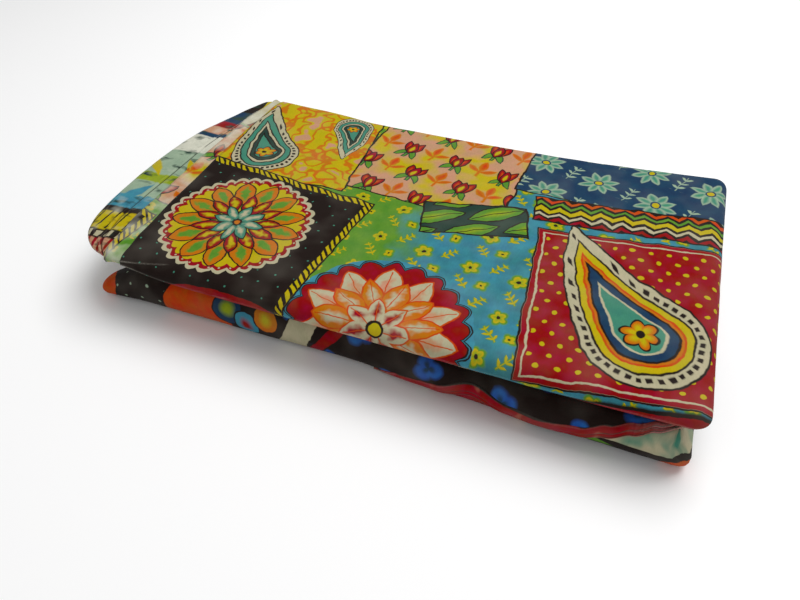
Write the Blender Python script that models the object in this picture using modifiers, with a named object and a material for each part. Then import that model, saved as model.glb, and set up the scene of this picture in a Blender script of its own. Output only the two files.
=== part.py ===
"""A length of block-printed cotton, folded into a flat bundle of two packs of layers.

The cloth was folded in thirds across its width and then turned over and over along its length.
Each stretch of cloth that shows is a wall, and each pack's hidden layers are one ridged solid.
Metres, +Z up, +X along the bundle and +Y from its front edge to its back edge.
The origin is under the middle of the bundle, on the surface that it rests on.
"""

import math

import bmesh
import bpy

# Overall sizes of the folded bundle
BUNDLE_LENGTH = 0.393
BUNDLE_DEPTH = 0.2174
BUNDLE_HEIGHT = 0.0468
SPLIT_HEIGHT = 0.0295  # where the upper pack lies on the lower one
FORWARD_SWELL = 0.0015  # half of how far the lower pack swells out before the upper one
RIGHT = BUNDLE_LENGTH / 2
FRONT = FORWARD_SWELL - BUNDLE_DEPTH / 2
BACK = FORWARD_SWELL + BUNDLE_DEPTH / 2

# One drawn wall stands for a few loose layers
WALL = 0.0012
GAP = 0.0004
LAYER = WALL + GAP
SLACK = 0.0014  # more room between a pack's hidden layers and the cloth round them

# A pack's rim: how far its rounded folds stand out from its flat top
RIM = 0.0097
FLAT_FRONT = FRONT + RIM
FLAT_BACK = BACK - RIM
FLAT_RIGHT = RIGHT - RIM
CORE_RINGS = (0.30, 0.60, 0.80, 0.92)  # rings of points on a core's flat faces, as shares of its outline
CORNER_RADIUS = 0.0006  # the least rounding of a flat top's corners
CORNER_REACH = 0.88  # cloth drawn round a corner, as a share of half a turn round the rim

# How the bundle has settled
BACK_BOW = 0.0074
TOP_SAG = 0.0029

# The left end, where the top stretch stops short and the layer under it rolls over.
# A row's place is measured behind the front edge of the flat top.
SELVAGE_X = -0.1572
ROLL_INNER_X = -0.1545
ROLL_OUTLINE = [
    {"behind": 0.0000, "x": -0.1640},
    {"behind": 0.0040, "x": -0.1770},
    {"behind": 0.0160, "x": -0.1895},
    {"behind": 0.0400, "x": -0.1958},
    {"behind": 0.0800, "x": -0.1965},
    {"behind": 0.1300, "x": -0.1922},
    {"behind": 0.1660, "x": -0.1800},
    {"behind": 0.1980, "x": -0.1672},
]
ROLL_LIP = 0.010  # how far it reaches back under itself, midway
ROLL_TURN = 1.10  # the last of its rows, in half turns round the rim
ROLL_LIFT = 0.0060  # how far its front corner curls up from below
CORE_TAPER = 0.0045  # how much narrower the hidden layers are inside it, at each side
CORE_TAPER_X = -0.1200

# The selvage of the strip that shows between the top stretch and the roll
STRIP_EDGE = [
    {"behind": -0.0130, "x": -0.1600},
    {"behind": 0.0080, "x": -0.1730},
    {"behind": 0.0300, "x": -0.1775},
    {"behind": 0.1150, "x": -0.1740},
    {"behind": 0.1720, "x": -0.1610},
]

# The lower pack's left end slopes, and its front edge wanders behind or before the upper one
TIP_X = -0.1826
TIP_SLOPE_X = -0.1440
TIP_DROP = 0.0187
TIP_RECESS = 0.0090  # how far the left end draws in, behind its front corner
TIP_RECESS_X = -0.1000
LOWER_SHIFT = [
    {"x": -0.1840, "back": 0.0040},
    {"x": -0.0600, "back": 0.0050},
    {"x": 0.0000, "back": 0.0062},
    {"x": 0.0700, "back": 0.0008},
    {"x": 0.1200, "back": -0.0020},
    {"x": 0.1930, "back": -0.0028},
]

# The hem of the middle stretch on the lower pack's front, as its height over the floor
HEM_HEIGHT = [
    {"x": -0.1840, "z": 0.0022},
    {"x": 0.0110, "z": 0.0022},
    {"x": 0.0350, "z": 0.0048},
    {"x": 0.0580, "z": 0.0072},
    {"x": 0.0795, "z": 0.0165},
    {"x": 0.1000, "z": 0.0099},
    {"x": 0.1200, "z": 0.0079},
    {"x": 0.1387, "z": 0.0110},
    {"x": 0.1520, "z": 0.0176},
    {"x": 0.1670, "z": 0.0248},
    {"x": 0.1755, "z": 0.0275},
]

# How far the under stretch is turned up at the front, as a share of half a turn round the rim
TURNED_UP = [
    {"x": 0.0120, "share": 0.00},
    {"x": 0.0400, "share": 0.22},
    {"x": 0.0660, "share": 0.60},
    {"x": 0.1735, "share": 0.60},
    {"x": 0.1805, "share": 0.78},
]
FLOOR_FLAP = 0.012  # the part of it, inside the front edge, that its turned-up rows start from

# Plain stand-ins for the print's face, its paler back and its dark ground
FACE = (0.55, 0.30, 0.12)
PALE = (0.62, 0.60, 0.47)
DARK = (0.10, 0.07, 0.06)


def ramp(low, high, value):
    """0 below low, 1 above high, and an even rise between them."""
    return min(1.0, max(0.0, (value - low) / (high - low)))


def blend(low, high, value):
    """The same with a smooth rise."""
    share = ramp(low, high, value)
    return share * share * (3.0 - 2.0 * share)


def read_table(rows, key, at, value):
    """The value of a table at a place between its rows, on a smooth line."""
    if at <= rows[0][key]:
        return rows[0][value]
    for before, after in zip(rows, rows[1:]):
        if at <= after[key]:
            rise = blend(before[key], after[key], at)
            return before[value] + (after[value] - before[value]) * rise
    return rows[-1][value]


def spaced(start, end, count):
    """Evenly spaced numbers, both ends included."""
    return [start + (end - start) * i / (count - 1) for i in range(count)]


def settle(x, y, z):
    """The bundle's own slack: the back edge bows forward and the top sags in the middle."""
    middle = max(0.0, 1.0 - (x / RIGHT) ** 2)
    rear = blend(-0.02, BACK, y)
    sag = TOP_SAG * middle * (0.45 + 0.55 * rear) * z / BUNDLE_HEIGHT
    return x, y - BACK_BOW * middle * rear, z - sag


def settle_lower(pack, x, y, z):
    """The lower pack also slopes at its left end, and its front edge isn't quite under the upper one's."""
    height_share = max(0.0, (z - pack.low) / (pack.high - pack.low))
    drop = TIP_DROP * ramp(-TIP_SLOPE_X, -TIP_X, -x) * height_share
    shift = read_table(LOWER_SHIFT, "x", x, "back") * (1.0 - blend(FRONT, 0.0, y))
    recess = TIP_RECESS * ramp(-TIP_RECESS_X, -TIP_X, -x) * blend(FLAT_FRONT, FLAT_FRONT + 0.030, y)
    return settle(x + recess, y + shift, z - drop)


def curl_up(x, y, height_share):
    """How far the upper pack's front left corner is lifted, most at its underside."""
    left = blend(-SELVAGE_X, -SELVAGE_X + 0.020, -x)
    return ROLL_LIFT * left * (1.0 - blend(0.0, 0.070, y - FLAT_FRONT)) * (1.0 - height_share)


def settle_upper_core(pack, x, y, z):
    """The hidden layers give way to the roll and the strip, which lie over their left end."""
    left = blend(-ROLL_INNER_X - 0.050, -ROLL_INNER_X - 0.010, -x)
    share = (z - pack.low) / (pack.high - pack.low)
    return settle(x, y, z + LAYER * left * (1.0 - 3.0 * share) + curl_up(x, y, share))


def nearest_on(outline, x, y):
    """The nearest point of a convex outline, with its corners in order, and how far away it is."""
    best = None
    inside = True
    for (ax, ay), (bx, by) in zip(outline, outline[1:] + outline[:1]):
        side_x, side_y = bx - ax, by - ay
        if side_x * (y - ay) - side_y * (x - ax) < 0.0:
            inside = False
        share = ((x - ax) * side_x + (y - ay) * side_y) / (side_x ** 2 + side_y ** 2)
        share = min(1.0, max(0.0, share))
        near_x, near_y = ax + side_x * share, ay + side_y * share
        away = math.hypot(x - near_x, y - near_y)
        if best is None or away < best[2]:
            best = (near_x, near_y, away)
    return (x, y, 0.0) if inside else best


class Pack:
    """The space that a pack of layers fills: a flat outline between two heights, with a round rim."""

    def __init__(self, outline, low, high, rim=RIM):
        self.outline = outline
        self.low = low
        self.high = high
        self.rim = rim
        self.middle = (low + high) / 2
        self.half = (high - low) / 2
        self.half_turn = math.pi * math.sqrt((rim ** 2 + self.half ** 2) / 2)

    def inside(self, layers):
        """The space that is left under some outer layers."""
        depth = layers * LAYER
        return Pack(self.outline, self.low + depth, self.high - depth, self.rim - depth)

    def share_down_to(self, height):
        """The share of half a turn that cloth takes to come down the rim to a height."""
        return math.acos(max(-1.0, min(1.0, (height - self.middle) / self.half))) / math.pi

    def lay(self, x, y):
        """Where a point of cloth lies that is drawn over the flat top, down the rim and under it."""
        near_x, near_y, away = nearest_on(self.outline, x, y)
        if away == 0.0:
            return x, y, self.high
        if away > self.half_turn:
            out, z = self.half_turn - away, self.low
        else:
            turn = math.pi * away / self.half_turn
            out, z = self.rim * math.sin(turn), self.middle + self.half * math.cos(turn)
        return near_x + (x - near_x) / away * out, near_y + (y - near_y) / away * out, z

    def lay_under(self, x, y):
        """The same for cloth drawn under the pack and up round its rim."""
        px, py, pz = self.lay(x, y)
        return px, py, self.low + self.high - pz

    def drawn(self, inset, under):
        """How far cloth is drawn past an edge: under the pack midway, and less far near a corner."""
        corner = CORNER_REACH * self.half_turn
        return corner + (self.half_turn + under - corner) * blend(0.0, 0.030, inset)


def overshoot(side_share, end_share, side_reach, end_reach):
    """How far past its two edges cloth lies, with the square of both shares made a round corner."""
    side = side_share * side_reach * math.sqrt(1.0 - end_share ** 2 / 2)
    end = end_share * end_reach * math.sqrt(1.0 - side_share ** 2 / 2)
    return side, end


def rectangle(left, right, front, back):
    return [(left, front), (right, front), (right, back), (left, back)]


def roll_side(inwards):
    """The flat edge beside the roll, from back to front, moved in from the roll's outermost line."""
    return [(row["x"] + inwards, FLAT_FRONT + row["behind"]) for row in reversed(ROLL_OUTLINE)]


def core_outline(inwards):
    """The flat top of the upper pack's hidden layers, whose left end is narrower, to lie in the roll."""
    side = roll_side(inwards)[1:-2]
    back_corner = (ROLL_INNER_X - 0.003, FLAT_BACK - CORE_TAPER)
    front_corner = (ROLL_INNER_X - 0.010, FLAT_FRONT + CORE_TAPER)
    right = [(CORE_TAPER_X, FLAT_FRONT), (FLAT_RIGHT, FLAT_FRONT), (FLAT_RIGHT, FLAT_BACK), (CORE_TAPER_X, FLAT_BACK)]
    return [back_corner] + side + [front_corner] + right


UPPER = Pack(rectangle(-0.30, FLAT_RIGHT, FLAT_FRONT, FLAT_BACK), SPLIT_HEIGHT, BUNDLE_HEIGHT)
STRIP = UPPER.inside(1)
ROLL_RIM = RIM - 2 * LAYER
ROLL_LOW = UPPER.low + LAYER
ROLL_HIGH = UPPER.high - 2 * LAYER
ROLL_MIDDLE = (ROLL_LOW + ROLL_HIGH) / 2
ROLL_HALF = (ROLL_HIGH - ROLL_LOW) / 2
UPPER_CORE = Pack(
    core_outline(ROLL_RIM + 3 * LAYER),
    UPPER.low + LAYER + SLACK / 2,
    UPPER.high - LAYER - SLACK / 2,
    STRIP.rim - SLACK,
)
LOWER = Pack(rectangle(TIP_X + RIM, FLAT_RIGHT, FLAT_FRONT, FLAT_BACK), 0.0, SPLIT_HEIGHT - GAP)
UNDER = LOWER.inside(1)
LOWER_CORE = Pack(LOWER.outline, LAYER + SLACK, LOWER.high - LAYER - SLACK / 2, UNDER.rim - LAYER - SLACK)


def finish(name, bm, colour, collection):
    """Makes an object of a mesh, with its plain material, and puts it with the other pieces."""
    mesh = bpy.data.meshes.new(name)
    bm.to_mesh(mesh)
    bm.free()
    material = bpy.data.materials.new(name)
    material.use_nodes = True
    shader = material.node_tree.nodes["Principled BSDF"]
    shader.inputs["Base Color"].default_value = (*colour, 1.0)
    shader.inputs["Roughness"].default_value = 0.85
    shader.inputs["Metallic"].default_value = 0.0
    mesh.materials.append(material)
    mesh.shade_smooth()
    obj = bpy.data.objects.new(name, mesh)
    collection.objects.link(obj)
    return obj


def cloth_wall(name, columns, rows, place, colour, collection, face_down=False):
    """A stretch of cloth: a grid laid by place(), with its thickness given inwards by Solidify."""
    bm = bmesh.new()
    bmesh.ops.create_grid(bm, x_segments=len(columns) - 1, y_segments=len(rows) - 1, size=1.0)
    for vertex in bm.verts:
        column = round((vertex.co.x + 1.0) / 2 * (len(columns) - 1))
        row = round((vertex.co.y + 1.0) / 2 * (len(rows) - 1))
        vertex.co = place(columns[column], rows[row])
    if face_down:
        bmesh.ops.reverse_faces(bm, faces=bm.faces)
    shell = finish(name, bm, colour, collection).modifiers.new("cloth thickness", "SOLIDIFY")
    shell.thickness = WALL
    shell.offset = -1.0


def edge_samples(outline, side_count, corner_count, closed=True):
    """Points along an outline, each with its way outwards, which turns at the corners."""
    found = []
    count = len(outline)
    for i in range(count if closed else count - 1):
        (ax, ay), (bx, by), (cx, cy) = (outline[(i + k) % count] for k in range(3))
        length = math.hypot(bx - ax, by - ay)
        way_x, way_y = (by - ay) / length, (ax - bx) / length
        start = math.atan2(way_y, way_x)
        turn = (math.atan2(bx - cx, cy - by) - start) % (2 * math.pi)
        steps = round(side_count * length / BUNDLE_LENGTH) + 1
        first = 0 if i == 0 and not closed else 1
        for share in spaced(0.0, 1.0, steps + 1)[first:-1]:
            found.append((ax + (bx - ax) * share, ay + (by - ay) * share, way_x, way_y))
        if i == count - 2 and not closed:
            found.append((bx, by, way_x, way_y))
            break
        for angle in spaced(start, start + turn, max(2, round(corner_count * turn / (math.pi / 2)))):
            found.append((bx, by, math.cos(angle), math.sin(angle)))
    return found


def hidden_layers(name, pack, ridges, groove, settle_core, collection):
    """The layers inside a pack as one rounded solid, with a ridge along its rim for each fold.

    A sphere's rings become the pack's: some on its flat top, its ridged rim, and some underneath.
    """
    samples = edge_samples(pack.outline, 18, 4)
    centre_x = sum(sample[0] for sample in samples) / len(samples)
    centre_y = sum(sample[1] for sample in samples) / len(samples)
    rings = [(share, CORNER_RADIUS, pack.high) for share in CORE_RINGS]
    for step in range(ridges * 2 + 1):
        turn = math.pi * (0.10 + 0.80 * step / (ridges * 2))
        dip = groove if step % 2 == 0 and 0 < step < ridges * 2 else 0.0
        rings.append((1.0, pack.rim * math.sin(turn) - dip, pack.middle + pack.half * math.cos(turn)))
    rings += [(share, CORNER_RADIUS, pack.low) for share in reversed(CORE_RINGS)]
    bm = bmesh.new()
    bmesh.ops.create_uvsphere(bm, u_segments=len(samples), v_segments=len(rings) + 1, radius=1.0)
    for vertex in bm.verts:
        level = round(math.acos(max(-1.0, min(1.0, vertex.co.z))) / math.pi * (len(rings) + 1))
        if level in (0, len(rings) + 1):
            vertex.co = settle_core(pack, centre_x, centre_y, pack.high if level == 0 else pack.low)
            continue
        share, out, z = rings[level - 1]
        angle = math.atan2(vertex.co.y, vertex.co.x) % (2 * math.pi)
        x, y, way_x, way_y = samples[round(angle / (2 * math.pi) * len(samples)) % len(samples)]
        x = centre_x + (x - centre_x) * share + way_x * out
        y = centre_y + (y - centre_y) * share + way_y * out
        vertex.co = settle_core(pack, x, y, z)
    finish(name, bm, FACE, collection)


def make_top_stretch(collection):
    """The printed face on top: round the front fold and under it, and part way down the right and back."""
    corner = CORNER_REACH * UPPER.half_turn

    def place(column, row):
        (x, side_share), (y, end_share) = column, row
        reach = UPPER.drawn(FLAT_RIGHT - x, 0.020) if end_share < 0.0 else corner
        side, end = overshoot(side_share, end_share, corner, reach)
        return settle(*UPPER.lay(x + side, y + end))

    columns = [(x, 0.0) for x in [SELVAGE_X] + spaced(-0.133, 0.143, 11) + spaced(0.151, FLAT_RIGHT, 6)]
    columns += [(FLAT_RIGHT, share) for share in spaced(0.0, 0.55, 7)[1:]]
    rows = [(FLAT_FRONT, -share) for share in spaced(1.0, 0.0, 13)]
    rows += [(y, 0.0) for y in spaced(FLAT_FRONT, FLAT_BACK, 9)[1:]]
    rows += [(FLAT_BACK, share) for share in spaced(0.0, 0.55, 7)[1:]]
    cloth_wall("top_stretch", columns, rows, place, FACE, collection)


def make_turned_strip(collection):
    """The second layer's selvage strip, wrong side up, which shows beyond the top stretch."""

    def place(share, row):
        y, end_share = row
        edge = read_table(STRIP_EDGE, "behind", y - FLAT_FRONT, "x")
        x = edge + (ROLL_INNER_X - edge) * share
        return settle(*STRIP.lay(x, y + end_share * STRIP.half_turn))

    rows = [(FLAT_FRONT, -share) for share in spaced(0.45, 0.0, 6)]
    rows += [(y, 0.0) for y in spaced(FLAT_FRONT, FLAT_FRONT + 0.1720, 7)[1:]]
    cloth_wall("turned_strip", spaced(0.0, 1.0, 4), rows, place, PALE, collection)


def make_left_roll(collection):
    """The next layer, wrong side up, rolling over the bundle's left end and back under it.

    Its columns follow the roll's edge from back to front, and each runs over the rim from below.
    """
    edge = [(ROLL_INNER_X, FLAT_BACK)] + roll_side(ROLL_RIM) + [(ROLL_INNER_X, FLAT_FRONT)]
    samples = edge_samples(edge, 36, 4, closed=False)
    columns = [(sample, 1 - i / (len(samples) - 1)) for i, sample in enumerate(samples)]

    def place(column, row):
        (x, y, way_x, way_y), back_share = column
        flat_share, turn = row
        angle = math.pi * min(turn, 1.0)
        lip = ROLL_LIP * max(0.0, turn - 1.0) / (ROLL_TURN - 1.0) * min(1.0, 4 * back_share * (1 - back_share))
        out = max(CORNER_RADIUS, ROLL_RIM * math.sin(angle)) - lip
        x += way_x * out
        y += way_y * out
        inner_y = FLAT_FRONT + (FLAT_BACK - FLAT_FRONT) * back_share
        x += (ROLL_INNER_X - x) * flat_share
        y += (inner_y - y) * flat_share
        lift = curl_up(x, y, (1.0 + math.cos(angle)) / 2)
        return settle(x, y, ROLL_MIDDLE + ROLL_HALF * math.cos(angle) + lift)

    rows = [(0.0, turn) for turn in [ROLL_TURN] + spaced(0.97, 0.0, 11)]
    rows += [(share, 0.0) for share in spaced(0.0, 1.0, 4)[1:]]
    cloth_wall("left_roll", columns, rows, place, PALE, collection)


def make_middle_stretch(collection):
    """The stretch between the packs, which hangs over the lower pack's front to a wavy hem."""
    left = TIP_X + RIM

    def place(column, row):
        (x, side_share), (y, end_share) = column, row
        hem = LOWER.half_turn * LOWER.share_down_to(read_table(HEM_HEIGHT, "x", x, "z"))
        end_reach = hem if end_share < 0.0 else LOWER.half_turn
        side, end = overshoot(side_share, end_share, LOWER.half_turn, end_reach)
        return settle_lower(LOWER, *LOWER.lay(x + side, y + end))

    columns = [(left, -share) for share in spaced(0.50, 0.0, 6)]
    columns += [(x, 0.0) for x in spaced(left, TIP_SLOPE_X, 4)[1:]]
    columns += [(x, 0.0) for x in spaced(TIP_SLOPE_X, -0.01, 8)[1:] + spaced(0.0, 0.1755, 21)]
    rows = [(FLAT_FRONT, -share) for share in spaced(1.0, 0.0, 10)]
    rows += [(y, 0.0) for y in spaced(FLAT_FRONT, FLAT_BACK, 6)[1:]]
    rows += [(FLAT_BACK, share) for share in spaced(0.0, 0.45, 5)[1:]]
    cloth_wall("middle_stretch", columns, rows, place, DARK, collection)


def make_under_stretch(collection):
    """The lowest stretch: flat on the floor, and turned up round the lower pack's front and right."""

    def place(column, row):
        (x, side_share), (y, end_share) = column, row
        if end_share < 0.0:
            turned_up = read_table(TURNED_UP, "x", x + side_share * UNDER.half_turn, "share") * UNDER.half_turn
            drawn = FLOOR_FLAP + end_share * (FLOOR_FLAP + turned_up)
            y, end_share = FLAT_FRONT + max(0.0, drawn), min(0.0, drawn) / UNDER.half_turn
        side, end = overshoot(side_share, end_share, UNDER.half_turn, UNDER.half_turn)
        px, py, pz = UNDER.lay_under(x + side, y + end)
        on_floor = 1.0 - blend(UNDER.low, UNDER.low + 0.003, pz)
        return settle_lower(UNDER, px, py, pz - UNDER.low * on_floor)

    columns = [(x, 0.0) for x in spaced(TIP_X + RIM, -0.01, 6) + spaced(0.01, FLAT_RIGHT, 15)]
    columns += [(FLAT_RIGHT, share) for share in spaced(0.0, 0.78, 9)[1:]]
    rows = [(FLAT_FRONT, -share) for share in spaced(1.0, 0.0, 12)[:-1]]
    rows += [(y, 0.0) for y in spaced(FLAT_FRONT + FLOOR_FLAP, FLAT_BACK, 6)]
    rows += [(FLAT_BACK, share) for share in spaced(0.0, 0.62, 8)[1:]]
    cloth_wall("under_stretch", columns, rows, place, FACE, collection, face_down=True)


def main():
    for obj in list(bpy.data.objects):
        bpy.data.objects.remove(obj)
    collection = bpy.data.collections.new("folded_block_print_cloth")
    bpy.context.scene.collection.children.link(collection)
    hidden_layers("upper_layers", UPPER_CORE, 4, 0.0014, settle_upper_core, collection)
    hidden_layers("lower_layers", LOWER_CORE, 6, 0.0014, settle_lower, collection)
    make_top_stretch(collection)
    make_turned_strip(collection)
    make_left_roll(collection)
    make_middle_stretch(collection)
    make_under_stretch(collection)


main()
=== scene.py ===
"""The looks of a folded length of block-printed cotton.

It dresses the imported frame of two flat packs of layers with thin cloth: a printed face on top, paler
strips and a roll at the left end, a dark stretch and a bottom layer on the lower pack, and the folded
edges of the hidden layers. Metres, +Z up, +X along the bundle, +Y from its front to its back.
"""

import math

import bpy
import numpy as np
from mathutils import Matrix, Vector


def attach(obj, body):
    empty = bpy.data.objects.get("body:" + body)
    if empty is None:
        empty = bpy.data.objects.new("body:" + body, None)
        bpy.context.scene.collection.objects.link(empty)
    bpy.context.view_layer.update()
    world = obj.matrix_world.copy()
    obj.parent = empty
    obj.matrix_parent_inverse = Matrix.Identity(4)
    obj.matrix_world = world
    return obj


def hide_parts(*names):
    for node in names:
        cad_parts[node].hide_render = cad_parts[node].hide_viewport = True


bl_info = {
    "name": "Folded Block Print Cloth",
    "version": (1, 0, 0),
    "blender": (4, 5, 0),
    "location": "3D View > Sidebar > Folded Cloth",
    "description": "Dresses a folded bundle of printed cotton",
    "category": "Object",
}

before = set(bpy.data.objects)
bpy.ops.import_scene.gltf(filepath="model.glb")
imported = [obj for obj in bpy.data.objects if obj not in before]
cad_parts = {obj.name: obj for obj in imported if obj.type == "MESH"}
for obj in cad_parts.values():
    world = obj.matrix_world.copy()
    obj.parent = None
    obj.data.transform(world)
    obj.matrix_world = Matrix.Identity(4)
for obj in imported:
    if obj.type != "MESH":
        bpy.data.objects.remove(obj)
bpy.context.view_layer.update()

# Sizes that the frame was built from
BUNDLE_LENGTH = 0.393
BUNDLE_DEPTH = 0.2174
BUNDLE_HEIGHT = 0.0468
SPLIT_HEIGHT = 0.0295
FORWARD_SWELL = 0.0015
RIGHT = BUNDLE_LENGTH / 2
FRONT = FORWARD_SWELL - BUNDLE_DEPTH / 2
BACK = FORWARD_SWELL + BUNDLE_DEPTH / 2
LAYER = 0.0016
RIM = 0.0097
FLAT_FRONT = FRONT + RIM
FLAT_BACK = BACK - RIM
FLAT_RIGHT = RIGHT - RIM
CORNER_REACH = 0.88
PACK_GAP = 0.0004
UPPER_TUCK = 0.0035

# How the bundle gives: its bow and sag, the lower pack's tip and right end, and the lifted front corners
BACK_BOW = 0.0074
BOW_LOSS = 0.55
BOW_LOSS_X = (0.060, 0.110)
TOP_SAG = 0.0029
FRONT_SAG_SHARE = 0.45
REAR_FROM = -0.02
TIP_X = -0.1814
TIP_SLOPE_X = -0.1440
TIP_DROP = 0.0200
TIP_RECESS = 0.0120
TIP_RECESS_X = -0.1000
TIP_RECESS_DEPTH = 0.022
END_PROFILE_X = (-0.016, 0.005)
END_LIFT = 0.0022
END_LIFT_X = (0.130, 0.190)
ROLL_LIFT = 0.0080
ROLL_LIFT_X = (0.1120, 0.1520)
LIFT_DEPTH = 0.070

# How far back the lower pack's front edge lies, for each x
LOWER_SHIFT = [
    (-0.1840, 0.0040), (-0.06, 0.0050), (0.0, 0.0062), (0.07, 0.0008), (0.12, -0.0020), (0.193, -0.0028),
]
# How far out the lower pack's right end lies, for each height
END_PROFILE = [
    (0.0, 0.0020), (0.0040, 0.0034), (0.0100, 0.0010), (0.0150, -0.0030), (0.0200, -0.0058),
    (0.0250, -0.0050), (0.0300, -0.0020),
]
# The x of four edges at the left end, for each distance behind the front of the flat top
ROLL_EDGE = [
    (0.0000, -0.1640), (0.0040, -0.1765), (0.0160, -0.1885), (0.0400, -0.1952),
    (0.0800, -0.1965), (0.1300, -0.1922), (0.1660, -0.1800), (0.1980, -0.1672),
]
STRIP_EDGE = [
    (-0.0130, -0.1600), (0.0080, -0.1730), (0.0300, -0.1765), (0.1150, -0.1735), (0.1720, -0.1630),
    (0.2000, -0.1560),
]
BAND_EDGE = [
    (-0.0200, -0.1560), (0.0100, -0.1588), (0.0300, -0.1612), (0.0900, -0.1612), (0.1600, -0.1592),
    (0.1980, -0.1535),
]
FACE_EDGE = [
    (-0.0300, -0.1440), (0.0000, -0.1456), (0.0160, -0.1476), (0.0560, -0.1494), (0.1400, -0.1508),
    (0.1900, -0.1490), (0.2040, -0.1465),
]
# How high the dark stretch's hem lies over the floor, for each x
HEM_HEIGHT = [
    (-0.1840, 0.0022), (0.0110, 0.0022), (0.0350, 0.0048), (0.0580, 0.0072), (0.0795, 0.0165),
    (0.1000, 0.0099), (0.1200, 0.0079), (0.1387, 0.0110), (0.1520, 0.0176), (0.1640, 0.0236),
    (0.1740, 0.0274), (0.1860, 0.0291),
]
# How far up the front the lowest stretch is turned, in half turns, for each x
TURNED_UP = [(0.0120, 0.0), (0.0400, 0.22), (0.0660, 0.60), (0.1300, 0.60), (0.1600, 0.90), (0.1850, 1.0)]

# Creases, each from one place of the cloth to another, with its half width and its height
TOP_CREASES = [
    ((-0.1560, -0.1100), (-0.1120, -0.1000), 0.0007, 0.00045),
    ((-0.1200, -0.1025), (-0.0880, -0.0880), 0.0012, 0.00030),
    ((-0.0900, -0.1130), (-0.0300, -0.1010), 0.0010, -0.00030),
    ((-0.0730, -0.0800), (-0.0710, -0.1150), 0.0012, -0.00030),
    ((0.0600, 0.0950), (0.0720, -0.0100), 0.0035, 0.00032),
    ((-0.0600, 0.0900), (-0.0400, -0.0200), 0.0040, -0.00038),
    ((0.1200, -0.0950), (0.1350, 0.0100), 0.0032, 0.00028),
    ((-0.1300, -0.0300), (-0.0200, -0.0450), 0.0045, 0.00030),
    ((0.0000, 0.0600), (0.1700, 0.0500), 0.0040, -0.00026),
    ((0.1780, -0.0900), (0.1850, 0.0800), 0.0028, 0.00030),
    ((0.1960, -0.0500), (0.1990, 0.0400), 0.0013, -0.00040),
    ((0.1500, 0.1040), (0.0700, 0.1080), 0.0015, -0.00040),
    ((-0.0300, 0.1090), (-0.1100, 0.1030), 0.0014, -0.00035),
]
UNDER_CREASES = [
    ((0.1960, -0.0700), (0.2010, 0.0300), 0.0012, -0.00040),
    ((0.2010, 0.0100), (0.1970, 0.0900), 0.0010, 0.00035),
    ((0.1300, 0.1140), (0.0400, 0.1180), 0.0011, -0.00040),
    ((-0.0100, 0.1170), (-0.1000, 0.1130), 0.0012, -0.00035),
]
CREASE_ENDS = ((-0.05, 0.2), (0.8, 1.05))

# Soft waves over the cloth: how many, the turn from one to the next, the shortest and its growth
WAVES = 8
WAVE_TURN = 2.4
WAVE_LENGTH = 0.016
WAVE_GROWTH = 1.36
WAVE_SUM = 4.0

# Bends, in 1/m, where rubbed dye with a painted highlight starts on a fold, and painted shade in a crease,
# and where each is whole
RUB_HIGHLIGHT_FROM = 260.0
RUB_HIGHLIGHT_FULL = 1200.0
CREASE_SHADE_FROM = 300.0
CREASE_SHADE_FULL = 850.0


def ramp(low, high, value):
    """0 below low, 1 above high, and an even rise between them."""
    return np.clip((value - low) / (high - low), 0.0, 1.0)


def blend(low, high, value):
    """The same with a smooth rise."""
    share = ramp(low, high, value)
    return share * share * (3.0 - 2.0 * share)


def bell(value, width):
    """1 at 0, and less and less away from it."""
    return np.exp(-((value / width) ** 2))


def read_table(rows, at):
    """The value of a table at some places, on a smooth line through its rows."""
    found = np.full(np.shape(at), float(rows[0][1]))
    for (place, value), (next_place, next_value) in zip(rows, rows[1:]):
        rise = blend(place, next_place, at)
        found = np.where(at > place, value + (next_value - value) * rise, found)
    return found


def half_turn(rim, half_height):
    """The length of cloth that goes once round a rim, from its top to its underside."""
    return math.pi * math.sqrt((rim**2 + half_height**2) / 2)


class Pack:
    """The space that a pack fills: a flat top and underside, and a round rim, as in the frame."""

    def __init__(self, left, low, high, rim, tuck=0.0):
        self.left, self.low, self.high, self.rim, self.tuck = left, low, high, rim, tuck
        self.middle = (low + high) / 2
        self.half = (high - low) / 2
        self.half_turn = half_turn(rim, self.half)

    def inside(self, depth):
        """The space that is left under a thickness of cloth."""
        return Pack(self.left, self.low + depth, self.high - depth, self.rim - depth, self.tuck)

    def lay(self, x, y):
        """Where cloth lies that is drawn over the flat top, down the rim and under it."""
        near_x = np.clip(x, self.left, FLAT_RIGHT)
        near_y = np.clip(y, FLAT_FRONT, FLAT_BACK)
        away = np.hypot(x - near_x, y - near_y)
        turn = np.minimum(away / self.half_turn, 1.0) * math.pi
        out = np.where(away > self.half_turn, self.half_turn - away, self.rim * np.sin(turn))
        out = out - self.tuck * np.maximum(0.0, -np.cos(turn))
        share = out / np.maximum(away, 1e-9)
        z = self.middle + self.half * np.cos(turn)
        return near_x + (x - near_x) * share, near_y + (y - near_y) * share, z

    def share_down_to(self, height):
        """The share of half a turn that cloth takes to come down the rim to a height."""
        return np.arccos(np.clip((height - self.middle) / self.half, -1.0, 1.0)) / math.pi


# The upper pack's left end is the roll, so its own rim starts far beyond it
UPPER = Pack(-0.30, SPLIT_HEIGHT, BUNDLE_HEIGHT, RIM, UPPER_TUCK)
LOWER = Pack(TIP_X + RIM, 0.0, SPLIT_HEIGHT - PACK_GAP, RIM)
UNDER = LOWER.inside(LAYER)
UPPER_LAYERS = Pack(0.0, SPLIT_HEIGHT + PACK_GAP, BUNDLE_HEIGHT - LAYER, RIM - LAYER, UPPER_TUCK)
LOWER_LAYERS = Pack(TIP_X + RIM, LAYER, SPLIT_HEIGHT - 0.0028, RIM - 0.0034)


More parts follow.
